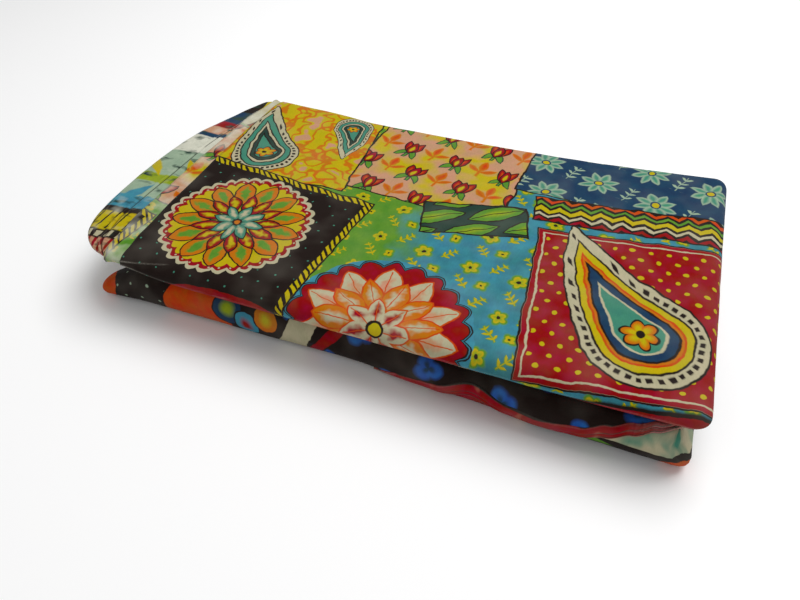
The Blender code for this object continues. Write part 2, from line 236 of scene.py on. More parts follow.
def settle(x, y, z):
    """The bundle's slack: the back edge bows forward and the top sags in the middle."""
    middle = np.maximum(0.0, 1.0 - (x / RIGHT) ** 2)
    rear = blend(REAR_FROM, BACK, y)
    sag = TOP_SAG * middle * (FRONT_SAG_SHARE + (1.0 - FRONT_SAG_SHARE) * rear) * z / BUNDLE_HEIGHT
    bow = BACK_BOW * middle * (1.0 - BOW_LOSS * blend(*BOW_LOSS_X, -x))
    return x, y - bow * rear, z - sag


def near_front(y):
    """1 at the front, and down to 0 where the lift of a front corner ends."""
    return 1.0 - blend(0.0, LIFT_DEPTH, y - FLAT_FRONT)


def end_lift(x, y):
    """How far the two packs' faces that touch rise at the front right corner."""
    return END_LIFT * blend(*END_LIFT_X, x) * near_front(y)


def curl_up(x, y, height_share):
    """How far the upper pack's front corners are lifted, most at their underside."""
    left = ROLL_LIFT * blend(*ROLL_LIFT_X, -x) * near_front(y)
    return (left + end_lift(x, y)) * (1.0 - height_share)


def settle_upper(x, y, z):
    """The upper pack's slack and its lifted corners."""
    return settle(x, y, z + curl_up(x, y, ramp(UPPER.low, UPPER.high, z)))


def settle_lower(pack, x, y, z):
    """The lower pack slopes and draws in at its left end, and its front edge wanders."""
    height_share = np.maximum(0.0, (z - pack.low) / (pack.high - pack.low))
    drop = TIP_DROP * ramp(-TIP_SLOPE_X, -TIP_X, -x) * height_share
    shift = read_table(LOWER_SHIFT, x) * (1.0 - blend(FRONT, 0.0, y))
    behind = blend(FLAT_FRONT, FLAT_FRONT + TIP_RECESS_DEPTH, y)
    recess = TIP_RECESS * ramp(-TIP_RECESS_X, -TIP_X, -x) * behind
    at_end = blend(FLAT_RIGHT + END_PROFILE_X[0], FLAT_RIGHT + END_PROFILE_X[1], x)
    end_shift = read_table(END_PROFILE, z) * at_end
    return settle(x + recess + end_shift, y + shift, z - drop + end_lift(x, y) * height_share)


def overshoot(side_share, end_share, side_reach, end_reach):
    """How far past its two edges cloth lies, with the square of both shares made a round corner."""
    side = side_share * side_reach * np.sqrt(1.0 - end_share**2 / 2)
    end = end_share * end_reach * np.sqrt(1.0 - side_share**2 / 2)
    return side, end


def stops(start, end, step):
    """Even places from a start to an end, both included, about a step apart."""
    return np.linspace(start, end, max(2, round(abs(end - start) / step) + 1))


def with_turns(flat, before=(0, 0.0), after=(0, 0.0)):
    """Places over a flat stretch and the turns down at its ends, and each one's share of a turn.

    A turn is given as its count of places and its share. The shares before the stretch are below 0.
    """
    (count_before, share_before), (count_after, share_after) = before, after
    places = np.concatenate([np.full(count_before, flat[0]), flat, np.full(count_after, flat[-1])])
    shares = np.concatenate([
        np.linspace(-share_before, 0.0, count_before + 1)[:-1], np.zeros(len(flat)),
        np.linspace(0.0, share_after, count_after + 1)[1:],
    ])
    return places, shares


def ripples(u, v, start):
    """Uneven soft waves, mostly between -1 and 1, for cloth that doesn't lie quite flat."""
    total = np.zeros(np.broadcast(u, v).shape)
    for i in range(WAVES):
        angle = start + WAVE_TURN * i
        length = WAVE_LENGTH * WAVE_GROWTH**i
        across = u * math.cos(angle) + v * math.sin(angle)
        total = total + np.sin(across * 2 * math.pi / length + start * (i + 1.7)) * (0.5 + i / 14)
    return total / WAVE_SUM


def creases(table, u, v):
    """Soft ridges and troughs, each from one place of the cloth to another."""
    total = np.zeros(np.broadcast(u, v).shape)
    for (from_u, from_v), (to_u, to_v), width, height in table:
        way_u, way_v = to_u - from_u, to_v - from_v
        length = math.hypot(way_u, way_v)
        along = ((u - from_u) * way_u + (v - from_v) * way_v) / length**2
        across = ((u - from_u) * way_v - (v - from_v) * way_u) / length
        ends = blend(*CREASE_ENDS[0], along) * (1.0 - blend(*CREASE_ENDS[1], along))
        total = total + height * bell(across, width) * ends
    return total


def outward(points):
    """The way out of a grid's surface at each of its points."""
    normal = np.cross(np.gradient(points, axis=1), np.gradient(points, axis=0))
    return normal / np.maximum(np.linalg.norm(normal, axis=2, keepdims=True), 1e-12)


def raised(points, height):
    """Points of a grid moved out of its surface by a height."""
    return points + outward(points) * height[..., None]


def worn_highlit_and_shaded(points):
    """How a grid of cloth bends: up to 1 where its dye is rubbed on a fold and a highlight is painted
    there, down to -1 in a crease, where shade is painted.
    """
    outwards = np.zeros(points.shape[:2])
    inwards = np.zeros(points.shape[:2])
    normal = outward(points)
    for axis in (0, 1):
        first = np.gradient(points, axis=axis)
        second = np.gradient(first, axis=axis)
        bend = (second * normal).sum(axis=2) / np.maximum((first**2).sum(axis=2), 1e-9)
        outwards = np.maximum(outwards, -bend)
        inwards = np.maximum(inwards, bend)
    return ramp(RUB_HIGHLIGHT_FROM, RUB_HIGHLIGHT_FULL, outwards) - ramp(CREASE_SHADE_FROM, CREASE_SHADE_FULL, inwards)


def deselect():
    bpy.ops.object.select_all(action="DESELECT")


def vertex_places(mesh):
    flat = np.empty(len(mesh.vertices) * 3)
    mesh.vertices.foreach_get("co", flat)
    return flat.reshape(-1, 3)


def corner_vertices(mesh):
    """The vertex at each corner of a mesh's faces."""
    corners = np.empty(len(mesh.loops), dtype=np.int32)
    mesh.loops.foreach_get("vertex_index", corners)
    return corners


def set_cloth(mesh, row, column, points, cloth, wear_and_painted_light):
    """Lays a mesh's vertices in place, each of a row and a column, and sets its UV map and its wear and
    painted light.
    """
    mesh.vertices.foreach_set("co", points[row, column].ravel())
    corners = corner_vertices(mesh)
    mesh.uv_layers[0].name = "cloth"
    mesh.uv_layers["cloth"].data.foreach_set("uv", cloth[row[corners], column[corners]].ravel())
    mesh.attributes.new("wear_and_painted_light", "FLOAT", "POINT").data.foreach_set("value", wear_and_painted_light[row, column].ravel())
    mesh.update()


def cloth_piece(name, points, cloth, thickness):
    """A grid added at the origin, laid in place with its UV map, and given a thickness inwards."""
    rows, columns = points.shape[:2]
    deselect()
    bpy.ops.mesh.primitive_grid_add(x_subdivisions=columns - 1, y_subdivisions=rows - 1, size=2.0)
    piece = bpy.context.object
    piece.name = piece.data.name = name
    flat = vertex_places(piece.data)
    column = np.rint((flat[:, 0] + 1) / 2 * (columns - 1)).astype(int)
    row = np.rint((flat[:, 1] + 1) / 2 * (rows - 1)).astype(int)
    set_cloth(piece.data, row, column, points, cloth, worn_highlit_and_shaded(points))
    bpy.ops.object.modifier_add(type="SOLIDIFY")
    piece.modifiers[0].thickness = thickness
    piece.modifiers[0].offset = -1.0
    bpy.ops.object.modifier_apply(modifier=piece.modifiers[0].name)
    bpy.ops.object.shade_smooth()
    return piece


def dress(piece, material, nodes=()):
    """Gives a piece its material and ties it to the frame."""
    piece.data.materials.clear()
    piece.data.materials.append(material)
    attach(piece, "root")
    if nodes:
        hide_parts(*nodes)


# Turns over the rims, each with its count of places and the share of half a turn that they reach
TOP_RIGHT_TURN = (14, 0.62)
TOP_FRONT_TURN = (69, 1.0)
TOP_BACK_TURN = (12, 0.55)
MIDDLE_LEFT_TURN = (12, 0.50)
MIDDLE_FRONT_TURN = (23, 1.0)
MIDDLE_BACK_TURN = (8, 0.36)
UNDER_RIGHT_TURN = (16, 1.0)
UNDER_FRONT_TURN = (23, 1.0)
UNDER_BACK_TURN = (12, 0.50)

# Each surface below is a grid of places in space, and the same grid's places on the cloth
TOP_LEFT = -0.1500
TOP_STEP = 0.0021
FRONT_STEP = 0.0009
FRONT_REACH = 0.014
COARSE_FROM = 0.016
UNDERLAP = 0.020
UNDERLAP_FADE = 0.030
FACE_EDGE_TO = -0.120


def top_face(sizes):
    """The printed face on top: over the front fold and under it, and part way down the right and back."""
    corner = CORNER_REACH * UPPER.half_turn
    u, side_share = with_turns(stops(TOP_LEFT, FLAT_RIGHT, TOP_STEP), after=TOP_RIGHT_TURN)
    fine = stops(FLAT_FRONT, FLAT_FRONT + FRONT_REACH, FRONT_STEP)
    coarse = stops(FLAT_FRONT + COARSE_FROM, FLAT_BACK, TOP_STEP)
    v, end_share = with_turns(np.concatenate([fine, coarse]), TOP_FRONT_TURN, TOP_BACK_TURN)
    u, v = u[None, :], v[:, None]
    side_share, end_share = side_share[None, :], end_share[:, None]
    under = corner + (UPPER.half_turn + UNDERLAP - corner) * blend(0.0, UNDERLAP_FADE, FLAT_RIGHT - u)
    side, end = overshoot(side_share, end_share, corner, np.where(end_share < 0.0, under, corner))
    u, v = u + side, v + end
    free_edge = read_table(FACE_EDGE, v - FLAT_FRONT) - TOP_LEFT
    u = u + free_edge * (1.0 - ramp(TOP_LEFT, FACE_EDGE_TO, u))
    points = np.stack(settle_upper(*UPPER.lay(u, v)), axis=2)
    height = sizes.ripple * ripples(u, v, 1.3) + sizes.crease * creases(TOP_CREASES, u, v)
    return raised(points, height), np.stack([u, v], axis=2)


STRIP_STEP = 0.0022
STRIP_OVERLAP = 0.006
BAND_RIDGE = 0.0013
BAND_RIDGE_WIDTH = 0.20
STRIP_PRESSED = 0.0010
STRIP_PRESSED_WIDTH = 0.13
STRIP_CREASE = 0.0013
STRIP_CREASE_AT = 0.17
STRIP_CREASE_WIDTH = 0.075


def edge_strip(depth, down_front, down_back, outer_edge, inner_edge, columns):
    """A strip between two edges of the cloth: its points, its places u and v, and the share across it."""
    pack = UPPER.inside(depth)
    front, back = FLAT_FRONT - down_front * pack.half_turn, FLAT_BACK + down_back * pack.half_turn
    v = stops(front, back, STRIP_STEP)[:, None]
    share = np.linspace(0.0, 1.0, columns)[None, :]
    outer = read_table(outer_edge, v - FLAT_FRONT)
    inner = read_table(inner_edge, v - FLAT_FRONT) + STRIP_OVERLAP
    u = outer + (inner - outer) * share
    v = v + 0 * u
    return np.stack(settle_upper(*pack.lay(u, v)), axis=2), u, v, share


def selvage_band(sizes):
    """The pale band beside the top face's free edge, which goes down round the front fold as well."""
    points, u, v, share = edge_strip(LAYER / 2, 0.86, 0.20, BAND_EDGE, FACE_EDGE, 9)
    height = 0.6 * sizes.ripple * ripples(u, v, 2.1) + BAND_RIDGE * bell(share, BAND_RIDGE_WIDTH)
    return raised(points, height), np.stack([u, v], axis=2)


def reverse_strip(sizes):
    """The second layer's strip, wrong side up, between the pale band and the roll."""
    points, u, v, share = edge_strip(LAYER, 0.62, 0.12, STRIP_EDGE, BAND_EDGE, 64)
    pressed = STRIP_PRESSED * bell(share, STRIP_PRESSED_WIDTH)
    # A trough just inside the strip's outer edge, which gets painted shade as every crease does.
    crease = STRIP_CREASE * bell(share - STRIP_CREASE_AT, STRIP_CREASE_WIDTH)
    height = 1.2 * sizes.ripple * ripples(u, v, 0.4) - (pressed + crease)
    return raised(points, height), np.stack([u, v], axis=2)


ROLL_INNER_X = -0.1545
ROLL_STEP = 0.0022
ROLL_LEAST_OUT = 0.0006
ROLL_LIP = 0.010
ROLL_TURN = 1.10
ROLL_RIM = RIM - 2 * LAYER
ROLL_LOW = UPPER.low + LAYER
ROLL_HIGH = UPPER.high - 2 * LAYER
LIP_ROWS = 3
TURN_ROWS = 20
INNER_ROWS = 6
SMOOTH_PARTS = 24


def smooth_line(points, step):
    """A smooth line through some points of the plane: places about a step apart, and the ways out of it."""
    points = np.array(points)
    padded = np.vstack([2 * points[0] - points[1], points, 2 * points[-1] - points[-2]])
    line = []
    for i in range(1, len(points)):
        a, b, c, d = padded[i - 1 : i + 3]
        for t in np.linspace(0.0, 1.0, SMOOTH_PARTS, endpoint=False):
            line.append(0.5 * (
                2 * b + (c - a) * t + (2 * a - 5 * b + 4 * c - d) * t**2 + (3 * b - a - 3 * c + d) * t**3
            ))
    line = np.array(line + [points[-1]])
    length = np.concatenate([[0.0], np.cumsum(np.hypot(*np.diff(line, axis=0).T))])
    at = stops(0.0, length[-1], step)
    x, y = np.interp(at, length, line[:, 0]), np.interp(at, length, line[:, 1])
    way = np.stack([np.gradient(y), -np.gradient(x)], axis=1)
    way /= np.linalg.norm(way, axis=1, keepdims=True)
    return x, y, way


def rolled_layer(sizes, depth, pulled_in, start):
    """A layer that rolls over the left end and back under it. Its columns run from back to front."""
    rim, low, high = ROLL_RIM - depth, ROLL_LOW + depth, ROLL_HIGH - depth
    edge = [(x + ROLL_RIM, FLAT_FRONT + behind) for behind, x in reversed(ROLL_EDGE)]
    x, y, way = smooth_line([(ROLL_INNER_X, FLAT_BACK)] + edge + [(ROLL_INNER_X, FLAT_FRONT)], ROLL_STEP)
    back_share = np.linspace(1.0, 0.0, len(x))[None, :]
    lip_turns = np.linspace(ROLL_TURN, 1.0, LIP_ROWS + 1)[:-1]
    turn = np.concatenate([lip_turns, np.linspace(1.0, 0.0, TURN_ROWS), np.zeros(INNER_ROWS)])[:, None]
    inner_shares = np.linspace(0.0, 1.0, INNER_ROWS + 1)[1:]
    flat_share = np.concatenate([np.zeros(LIP_ROWS + TURN_ROWS), inner_shares])[:, None]
    middle, half = (low + high) / 2, (high - low) / 2
    length = half_turn(rim, half)
    angle = math.pi * np.minimum(turn, 1.0)
    away_from_corners = np.minimum(1.0, 4 * back_share * (1 - back_share))
    lip = ROLL_LIP * np.maximum(0.0, turn - 1.0) / (ROLL_TURN - 1.0) * away_from_corners
    out = np.maximum(ROLL_LEAST_OUT, rim * np.sin(angle)) - lip - pulled_in * np.sin(angle)
    out = out - UPPER.tuck * np.maximum(0.0, -np.cos(angle))
    u, v = x + way[:, 0] * turn * length, y + way[:, 1] * turn * length
    px, py = x + way[:, 0] * out, y + way[:, 1] * out
    inner_y = FLAT_FRONT + (FLAT_BACK - FLAT_FRONT) * back_share
    px, py = px + (ROLL_INNER_X - px) * flat_share, py + (inner_y - py) * flat_share
    u, v = np.where(flat_share > 0.0, px, u), np.where(flat_share > 0.0, py, v)
    lift = curl_up(px, py, (1.0 + np.cos(angle)) / 2)
    points = np.stack(settle(px, py, middle + half * np.cos(angle) + lift), axis=2)
    return raised(points, 1.2 * sizes.ripple * ripples(u, v, start)), np.stack([u, v], axis=2)


MIDDLE_RIGHT = 0.1865
MIDDLE_STEP = 0.0022
MIDDLE_FINE_STEP = 0.0025
MIDDLE_FINE_REACH = 0.05
MIDDLE_COARSE_STEP = 0.010
MIDDLE_COARSE_FROM = 0.06
HEM_RIGHT = 0.1880
HEM_STEP = 0.0018
HEM_ROWS = 14
HEM_WANDERS = ((0.0005, 70.0, 1), (0.0003, 163.0, 2))
HEM_DROP_X = 0.030
HEM_RISE = (-0.002, 0.022)
HEM_NARROWER_X = (0.150, 0.175)
HEM_END_X = (0.176, 0.190)
HEM_SUNK = 0.0002


def hem_reach(u):
    """How far the dark stretch comes down over the front, from the flat top to its hem."""
    return LOWER.half_turn * LOWER.share_down_to(read_table(HEM_HEIGHT, u))


def middle_face(sizes):
    """The dark stretch between the packs, which hangs over the lower pack's front to a wavy hem."""
    u, side_share = with_turns(stops(LOWER.left, MIDDLE_RIGHT, MIDDLE_STEP), before=MIDDLE_LEFT_TURN)
    fine = stops(FLAT_FRONT, FLAT_FRONT + MIDDLE_FINE_REACH, MIDDLE_FINE_STEP)
    coarse = stops(FLAT_FRONT + MIDDLE_COARSE_FROM, FLAT_BACK, MIDDLE_COARSE_STEP)
    v, end_share = with_turns(np.concatenate([fine, coarse]), MIDDLE_FRONT_TURN, MIDDLE_BACK_TURN)
    u, v = u[None, :], v[:, None]
    side_share, end_share = side_share[None, :], end_share[:, None]
    reach = np.where(end_share < 0.0, hem_reach(u), LOWER.half_turn)
    side, end = overshoot(side_share, end_share, LOWER.half_turn, reach)
    u, v = u + side, v + end
    points = np.stack(settle_lower(LOWER, *LOWER.lay(u, v)), axis=2)
    height = 1.2 * sizes.ripple * ripples(u, v, 3.2) * blend(-0.001, 0.004, FLAT_FRONT - v)
    return raised(points, height), np.stack([u, v], axis=2)


def hem_fold(start, full_width, below, proud, seed):
    """A narrow rounded fold along the dark stretch's hem, with its lower edge some way below it."""
    u = stops(start, HEM_RIGHT, HEM_STEP)[None, :]
    share = np.linspace(0.0, 1.0, HEM_ROWS)[:, None]
    wander = sum(reach * np.sin(u * rate + times * seed) for reach, rate, times in HEM_WANDERS)
    narrower = 1.0 - 0.35 * blend(*HEM_NARROWER_X, u)
    ending = 1.0 - 0.8 * blend(*HEM_END_X, u)
    width = (full_width + wander) * blend(start + HEM_RISE[0], start + HEM_RISE[1], u) * narrower * ending
    lower_edge = FLAT_FRONT - hem_reach(u) - below * blend(start, start + HEM_DROP_X, u)
    v = lower_edge + width * share - 0.4 * wander
    u = u + 0 * v
    points = np.stack(settle_lower(LOWER, *LOWER.lay(u, v)), axis=2)
    height = proud * np.sin(math.pi * share) ** 0.6 - HEM_SUNK + 0 * u
    return raised(points, height), np.stack([u, width * share], axis=2)


FLOOR_FLAP = 0.012
FLOOR_EDGE = 0.003
UNDER_STEP = 0.0026
FLOOR_STEP = 0.008


def under_face(sizes):
    """The lowest stretch: flat on the floor, and turned up round the lower pack's front, right and back."""
    u, side_share = with_turns(stops(LOWER.left, FLAT_RIGHT, UNDER_STEP), after=UNDER_RIGHT_TURN)
    flat = stops(FLAT_FRONT + FLOOR_FLAP, FLAT_BACK, FLOOR_STEP)
    y, share = with_turns(flat, UNDER_FRONT_TURN, UNDER_BACK_TURN)
    u, side_share, y, share = u[None, :], side_share[None, :], y[:, None], share[:, None]
    turned_up = read_table(TURNED_UP, u + side_share * UNDER.half_turn) * UNDER.half_turn
    drawn = FLOOR_FLAP + share * (FLOOR_FLAP + turned_up)
    y = np.where(share < 0.0, FLAT_FRONT + np.maximum(0.0, drawn), y)
    end_share = np.where(share < 0.0, np.minimum(0.0, drawn) / UNDER.half_turn, share)
    side, end = overshoot(side_share, end_share, UNDER.half_turn, UNDER.half_turn)
    u, v = u + side, y + end
    px, py, pz = UNDER.lay(u, v)
    pz = UNDER.low + UNDER.high - pz
    on_floor = 1.0 - blend(UNDER.low, UNDER.low + FLOOR_EDGE, pz)
    points = np.stack(settle_lower(UNDER, px, py, pz - UNDER.low * on_floor), axis=2)
    height = sizes.ripple * ripples(u, v, 4.4) + sizes.crease * creases(UNDER_CREASES, u, v)
    return raised(points, -height * (1.0 - on_floor))[:, ::-1], np.stack([u, v], axis=2)[:, ::-1]


# The hidden layers of a pack are rings: caps at the top and bottom, and some rings for each fold on the rim
HULL_STEP = 0.0026
CAP_SHARES = (0.35, 0.75, 0.93)
TOP_PRINT_V = -0.01
UNDER_PRINT_V = 0.06
FOLD_RINGS = 6
FOLD_FROM = 0.06
FOLD_SPAN = 0.88
FOLD_LEAST_OUT = 0.0004
FOLD_SLIP_FROM = 0.004
FOLD_BULGE = 0.0011
FOLD_WAVE = 0.0005
FOLD_SLIP = 0.0006
FOLD_DIP = 0.0002
FOLD_WEAR_AND_HIGHLIGHT = 0.35
FOLD_PRINT_STEP = 0.0613
FOLD_PRINT_SPREAD = 0.31
CORE_TAPER = 0.0045
CORE_RIGHT_X = -0.120
CORE_SINK_X = (0.1045, 0.1445)


def core_outline(inwards):
    """The flat top of the upper pack's hidden layers, whose left end is narrower, to lie in the roll."""
    side = [(x + inwards, FLAT_FRONT + behind) for behind, x in reversed(ROLL_EDGE)][1:-2]
    back_corner = (ROLL_INNER_X - 0.003, FLAT_BACK - CORE_TAPER)
    front_corner = (ROLL_INNER_X - 0.010, FLAT_FRONT + CORE_TAPER)
    return [
        back_corner, *side, front_corner, (CORE_RIGHT_X, FLAT_FRONT), (FLAT_RIGHT, FLAT_FRONT),
        (FLAT_RIGHT, FLAT_BACK), (CORE_RIGHT_X, FLAT_BACK),
    ]


def round_outline(outline, step):
    """Places round a closed outline, its corners turned on the spot, each with its way out."""
    found = []
    count = len(outline)
    for i in range(count):
        (ax, ay), (bx, by), (cx, cy) = (outline[(i + k) % count] for k in range(3))
        length = math.hypot(bx - ax, by - ay)
        way_x, way_y = (by - ay) / length, (ax - bx) / length
        start = math.atan2(way_y, way_x)
        turn = (math.atan2(bx - cx, cy - by) - start) % (2 * math.pi)
        for share in np.linspace(0.0, 1.0, max(2, round(length / step)) + 1)[1:-1]:
            found.append((ax + (bx - ax) * share, ay + (by - ay) * share, way_x, way_y))
        for angle in np.linspace(start, start + turn, max(2, round(8 * turn / (math.pi / 2)))):
            found.append((bx, by, math.cos(angle), math.sin(angle)))
    return np.array(found)


def fold_slip(fold, run, start):
    """How far a fold's edge stands out or back, along its run round the pack."""
    loop = 2 * math.pi / run[-1]
    waves = 0
    for k in range(4):
        strength = math.sin(start * 3.1 + fold * (2.7 + k))
        waves = waves + strength * np.sin(run * loop * (2 + 3 * k) + fold * 1.9 * (k + 1) + start)
    return FOLD_WAVE * waves + FOLD_SLIP * math.sin(fold * 5.3 + start)


def fold_hull(outline, pack, folds, settle_hull, start):
    """A pack's hidden layers: a closed form whose rim is a stack of folded edges, each with its own run."""
    x, y, way_x, way_y = round_outline(outline, HULL_STEP).T
    around = len(x)
    rim_steps = np.hypot(np.diff(x + way_x * pack.rim), np.diff(y + way_y * pack.rim))
    run = np.concatenate([[0.0], np.cumsum(rim_steps)])

    def cap(share, height):
        return x.mean() + (x - x.mean()) * share, y.mean() + (y - y.mean()) * share, np.full(around, height)

    rows = [cap(share, pack.high) for share in CAP_SHARES]
    cloth = [(run, np.full(around, TOP_PRINT_V))] * len(CAP_SHARES)
    for fold in range(folds):
        slip = fold_slip(fold, run, start)
        for across in np.linspace(0.0, 1.0, FOLD_RINGS):
            height = (fold + FOLD_FROM + FOLD_SPAN * across) / folds
            z = pack.high - (pack.high - pack.low) * height
            envelope = pack.rim * np.sqrt(max(0.0, 1.0 - ((z - pack.middle) / pack.half) ** 2))
            bulge = math.sqrt(max(0.0, 1.0 - (2 * across - 1) ** 2)) * FOLD_BULGE
            slipped = slip * min(1.0, envelope / FOLD_SLIP_FROM)
            out = np.maximum(FOLD_LEAST_OUT, envelope - FOLD_BULGE + bulge + slipped)
            out = out - pack.tuck * max(0.0, (pack.middle - z) / pack.half)
            rows.append((x + way_x * out, y + way_y * out, z + FOLD_DIP * slip / FOLD_SLIP))
            print_v = FOLD_PRINT_SPREAD * math.sin(fold * 2.3 + start) + z * 1.4
            cloth.append((run + fold * FOLD_PRINT_STEP, np.full(around, print_v)))
    rows += [cap(share, pack.low) for share in reversed(CAP_SHARES)]
    cloth += [(run, np.full(around, UNDER_PRINT_V))] * len(CAP_SHARES)
    points = np.array([np.stack(settle_hull(*row), axis=1) for row in rows])
    return points, np.array([np.stack(row, axis=1) for row in cloth]), run[-1] + HULL_STEP


def ridge_wear_and_highlight(rings):
    """How rubbed each ring is, with a painted highlight: the middle of every fold is, and the flat faces
    aren't.
    """
    ring = np.arange(rings)
    first = len(CAP_SHARES) + 1
    on_rim = (ring >= first) & (ring < rings - first)
    rubbed_and_highlight = FOLD_WEAR_AND_HIGHLIGHT * np.sin(math.pi * ((ring - first) % FOLD_RINGS) / (FOLD_RINGS - 1))
    return np.where(on_rim, rubbed_and_highlight, 0.0)


def close_seam(mesh, column, around, around_length):
    """Moves the UV corners of the faces that close the ring one run further along."""
    corners = corner_vertices(mesh)
    starts = np.empty(len(mesh.polygons), dtype=np.int32)
    mesh.polygons.foreach_get("loop_start", starts)
    face = np.zeros(len(mesh.loops), dtype=np.int64)
    face[starts[1:]] = 1
    face = np.cumsum(face)
    farthest = np.zeros(len(mesh.polygons), dtype=np.int64)
    np.maximum.at(farthest, face, column[corners])
    place = np.empty(len(mesh.loops) * 2)
    mesh.uv_layers["cloth"].data.foreach_get("uv", place)
    place = place.reshape(-1, 2)
    place[(column[corners] == 0) & (farthest[face] > around // 2), 0] += around_length
    mesh.uv_layers["cloth"].data.foreach_set("uv", place.ravel())


def hull_piece(name, points, cloth, around_length):
    """A sphere added at the origin, with its rings laid in place as a pack's hidden layers."""
    rings, around = points.shape[:2]
    deselect()
    bpy.ops.mesh.primitive_uv_sphere_add(segments=around, ring_count=rings + 1, radius=1.0)
    piece = bpy.context.object
    piece.name = piece.data.name = name
    mesh = piece.data
    ball = vertex_places(mesh)
    ring = np.rint(np.arccos(np.clip(ball[:, 2], -1.0, 1.0)) / math.pi * (rings + 1)).astype(int)
    angle = np.arctan2(ball[:, 1], ball[:, 0]) % (2 * math.pi)
    column = np.rint(angle / (2 * math.pi) * around).astype(int) % around
    capped = np.concatenate([points[:1], points, points[-1:]])
    capped[0] = points[0].mean(axis=0)
    capped[-1] = points[-1].mean(axis=0)
    cloth = np.concatenate([cloth[:1], cloth, cloth[-1:]])
    wear_and_painted_light = np.tile(ridge_wear_and_highlight(rings + 2), (around, 1)).T
    set_cloth(mesh, ring, column, capped, cloth, wear_and_painted_light)
    close_seam(mesh, column, around, around_length)
    bpy.ops.object.shade_smooth()
    return piece


def settle_upper_layers(x, y, z):
    """The hidden layers give way to the roll and the strip, which lie over their left end."""
    left = blend(*CORE_SINK_X, -x)
    share = (z - UPPER_LAYERS.low) / (UPPER_LAYERS.high - UPPER_LAYERS.low)
    return settle(x, y, z + LAYER * left * (1.0 - 3.0 * share) + curl_up(x, y, share))


def settle_lower_layers(x, y, z):
    """The lower hidden layers give just as the cloth round them does."""
    return settle_lower(LOWER, x, y, z)


def make_upper_folds():
    outline = core_outline(ROLL_RIM + 3 * LAYER)
    return hull_piece("upper_folds", *fold_hull(outline, UPPER_LAYERS, 9, settle_upper_layers, 0.7))


def make_lower_folds():
    left, right = LOWER.left, FLAT_RIGHT
    outline = [(left, FLAT_FRONT), (right, FLAT_FRONT), (right, FLAT_BACK), (left, FLAT_BACK)]
    return hull_piece("lower_folds", *fold_hull(outline, LOWER_LAYERS, 14, settle_lower_layers, 2.9))


class Number:
    """A value in a node tree. Sums and products with it make the nodes that work them out."""

    def __init__(self, tree, socket):
        self.tree, self.socket = tree, socket

    def maths(self, operation, *others, clamp=False):
        node = self.tree.nodes.new("ShaderNodeMath")
        node.operation = operation
        node.use_clamp = clamp
        for i, value in enumerate((self, *others)):
            if isinstance(value, Number):
                self.tree.links.new(value.socket, node.inputs[i])
            else:
                node.inputs[i].default_value = value
        return Number(self.tree, node.outputs[0])

    def __add__(self, other):
        return self.maths("ADD", other)

    def __sub__(self, other):
        return self.maths("SUBTRACT", other)

    def __rsub__(self, other):
        return self.maths("MULTIPLY_ADD", -1.0, other)

    def __mul__(self, other):
        return self.maths("MULTIPLY", other)

    def __neg__(self):
        return self.maths("MULTIPLY", -1.0)

    def times_plus(self, factor, addend):
        return self.maths("MULTIPLY_ADD", factor, addend)

    def size(self):
        return self.maths("ABSOLUTE")

    def sine(self):
        return self.maths("SINE")

    def cosine(self):
        return self.maths("COSINE")

    def least(self, other):
        return self.maths("MINIMUM", other)

    def most(self, other):
        return self.maths("MAXIMUM", other)

    def power(self, other):
        return self.maths("POWER", other)

    def whole(self):
        return self.maths("FLOOR")

    def repeat(self, width):
        """The value as measured from the middle of the nearest of evenly spaced bays."""
        return self.maths("WRAP", width / 2, -width / 2)

    def under(self, edge=0.0, soft=0.35):
        """A mask: 1 where the value is below an edge, 0 above it, with a soft step between."""
        return self.maths("MULTIPLY_ADD", -1.0 / soft, edge / soft + 0.5, clamp=True)


class Place:
    """A place on the print, in millimetres, with x and y as its Numbers."""

    def __init__(self, tree, socket):
        self.tree, self.socket = tree, socket

    def vector(self, operation, *others):
        node = self.tree.nodes.new("ShaderNodeVectorMath")
        node.operation = operation
        self.tree.links.new(self.socket, node.inputs[0])
        for i, value in enumerate(others, 1):
            if isinstance(value, Place):
                self.tree.links.new(value.socket, node.inputs[i])
            else:
                node.inputs[i].default_value = value
        return node

    def moved(self, x, y):
        """The place as seen from a spot."""
        return Place(self.tree, self.vector("SUBTRACT", (x, y, 0.0)).outputs[0])

    def scaled(self, x, y):
        return Place(self.tree, self.vector("MULTIPLY", (x, y, 0.0)).outputs[0])

    def repeated(self, width, height):
        """The place as seen from the nearest point of a lattice."""
        half = (width / 2, height / 2, 0.0)
        return Place(self.tree, self.vector("WRAP", half, tuple(-h for h in half)).outputs[0])

    def folded(self):
        """The place mirrored into the quarter where x and y are above 0."""
        return Place(self.tree, self.vector("ABSOLUTE").outputs[0])

    def turned(self, degrees):
        node = self.tree.nodes.new("ShaderNodeVectorRotate")
        node.rotation_type = "Z_AXIS"
        node.inputs["Angle"].default_value = math.radians(degrees)
        self.tree.links.new(self.socket, node.inputs["Vector"])
        return Place(self.tree, node.outputs[0])

    def length(self):
        return Number(self.tree, self.vector("LENGTH").outputs["Value"])

    @property
    def x(self):
        return Number(self.tree, self.vector("DOT_PRODUCT", (1.0, 0.0, 0.0)).outputs["Value"])

    @property
    def y(self):
        return Number(self.tree, self.vector("DOT_PRODUCT", (0.0, 1.0, 0.0)).outputs["Value"])

    def angle(self):
        return self.y.maths("ARCTAN2", self.x)

    def noise(self, grain, detail=2.0, seed=0.0):
        """Blotches of about a size, as a value round a half and as a colour."""
        node = self.tree.nodes.new("ShaderNodeTexNoise")
        node.inputs["Scale"].default_value = 1.0 / grain
        node.inputs["Detail"].default_value = detail
        moved = self.moved(seed, seed * 0.7)
        self.tree.links.new(moved.socket, node.inputs["Vector"])
        return node


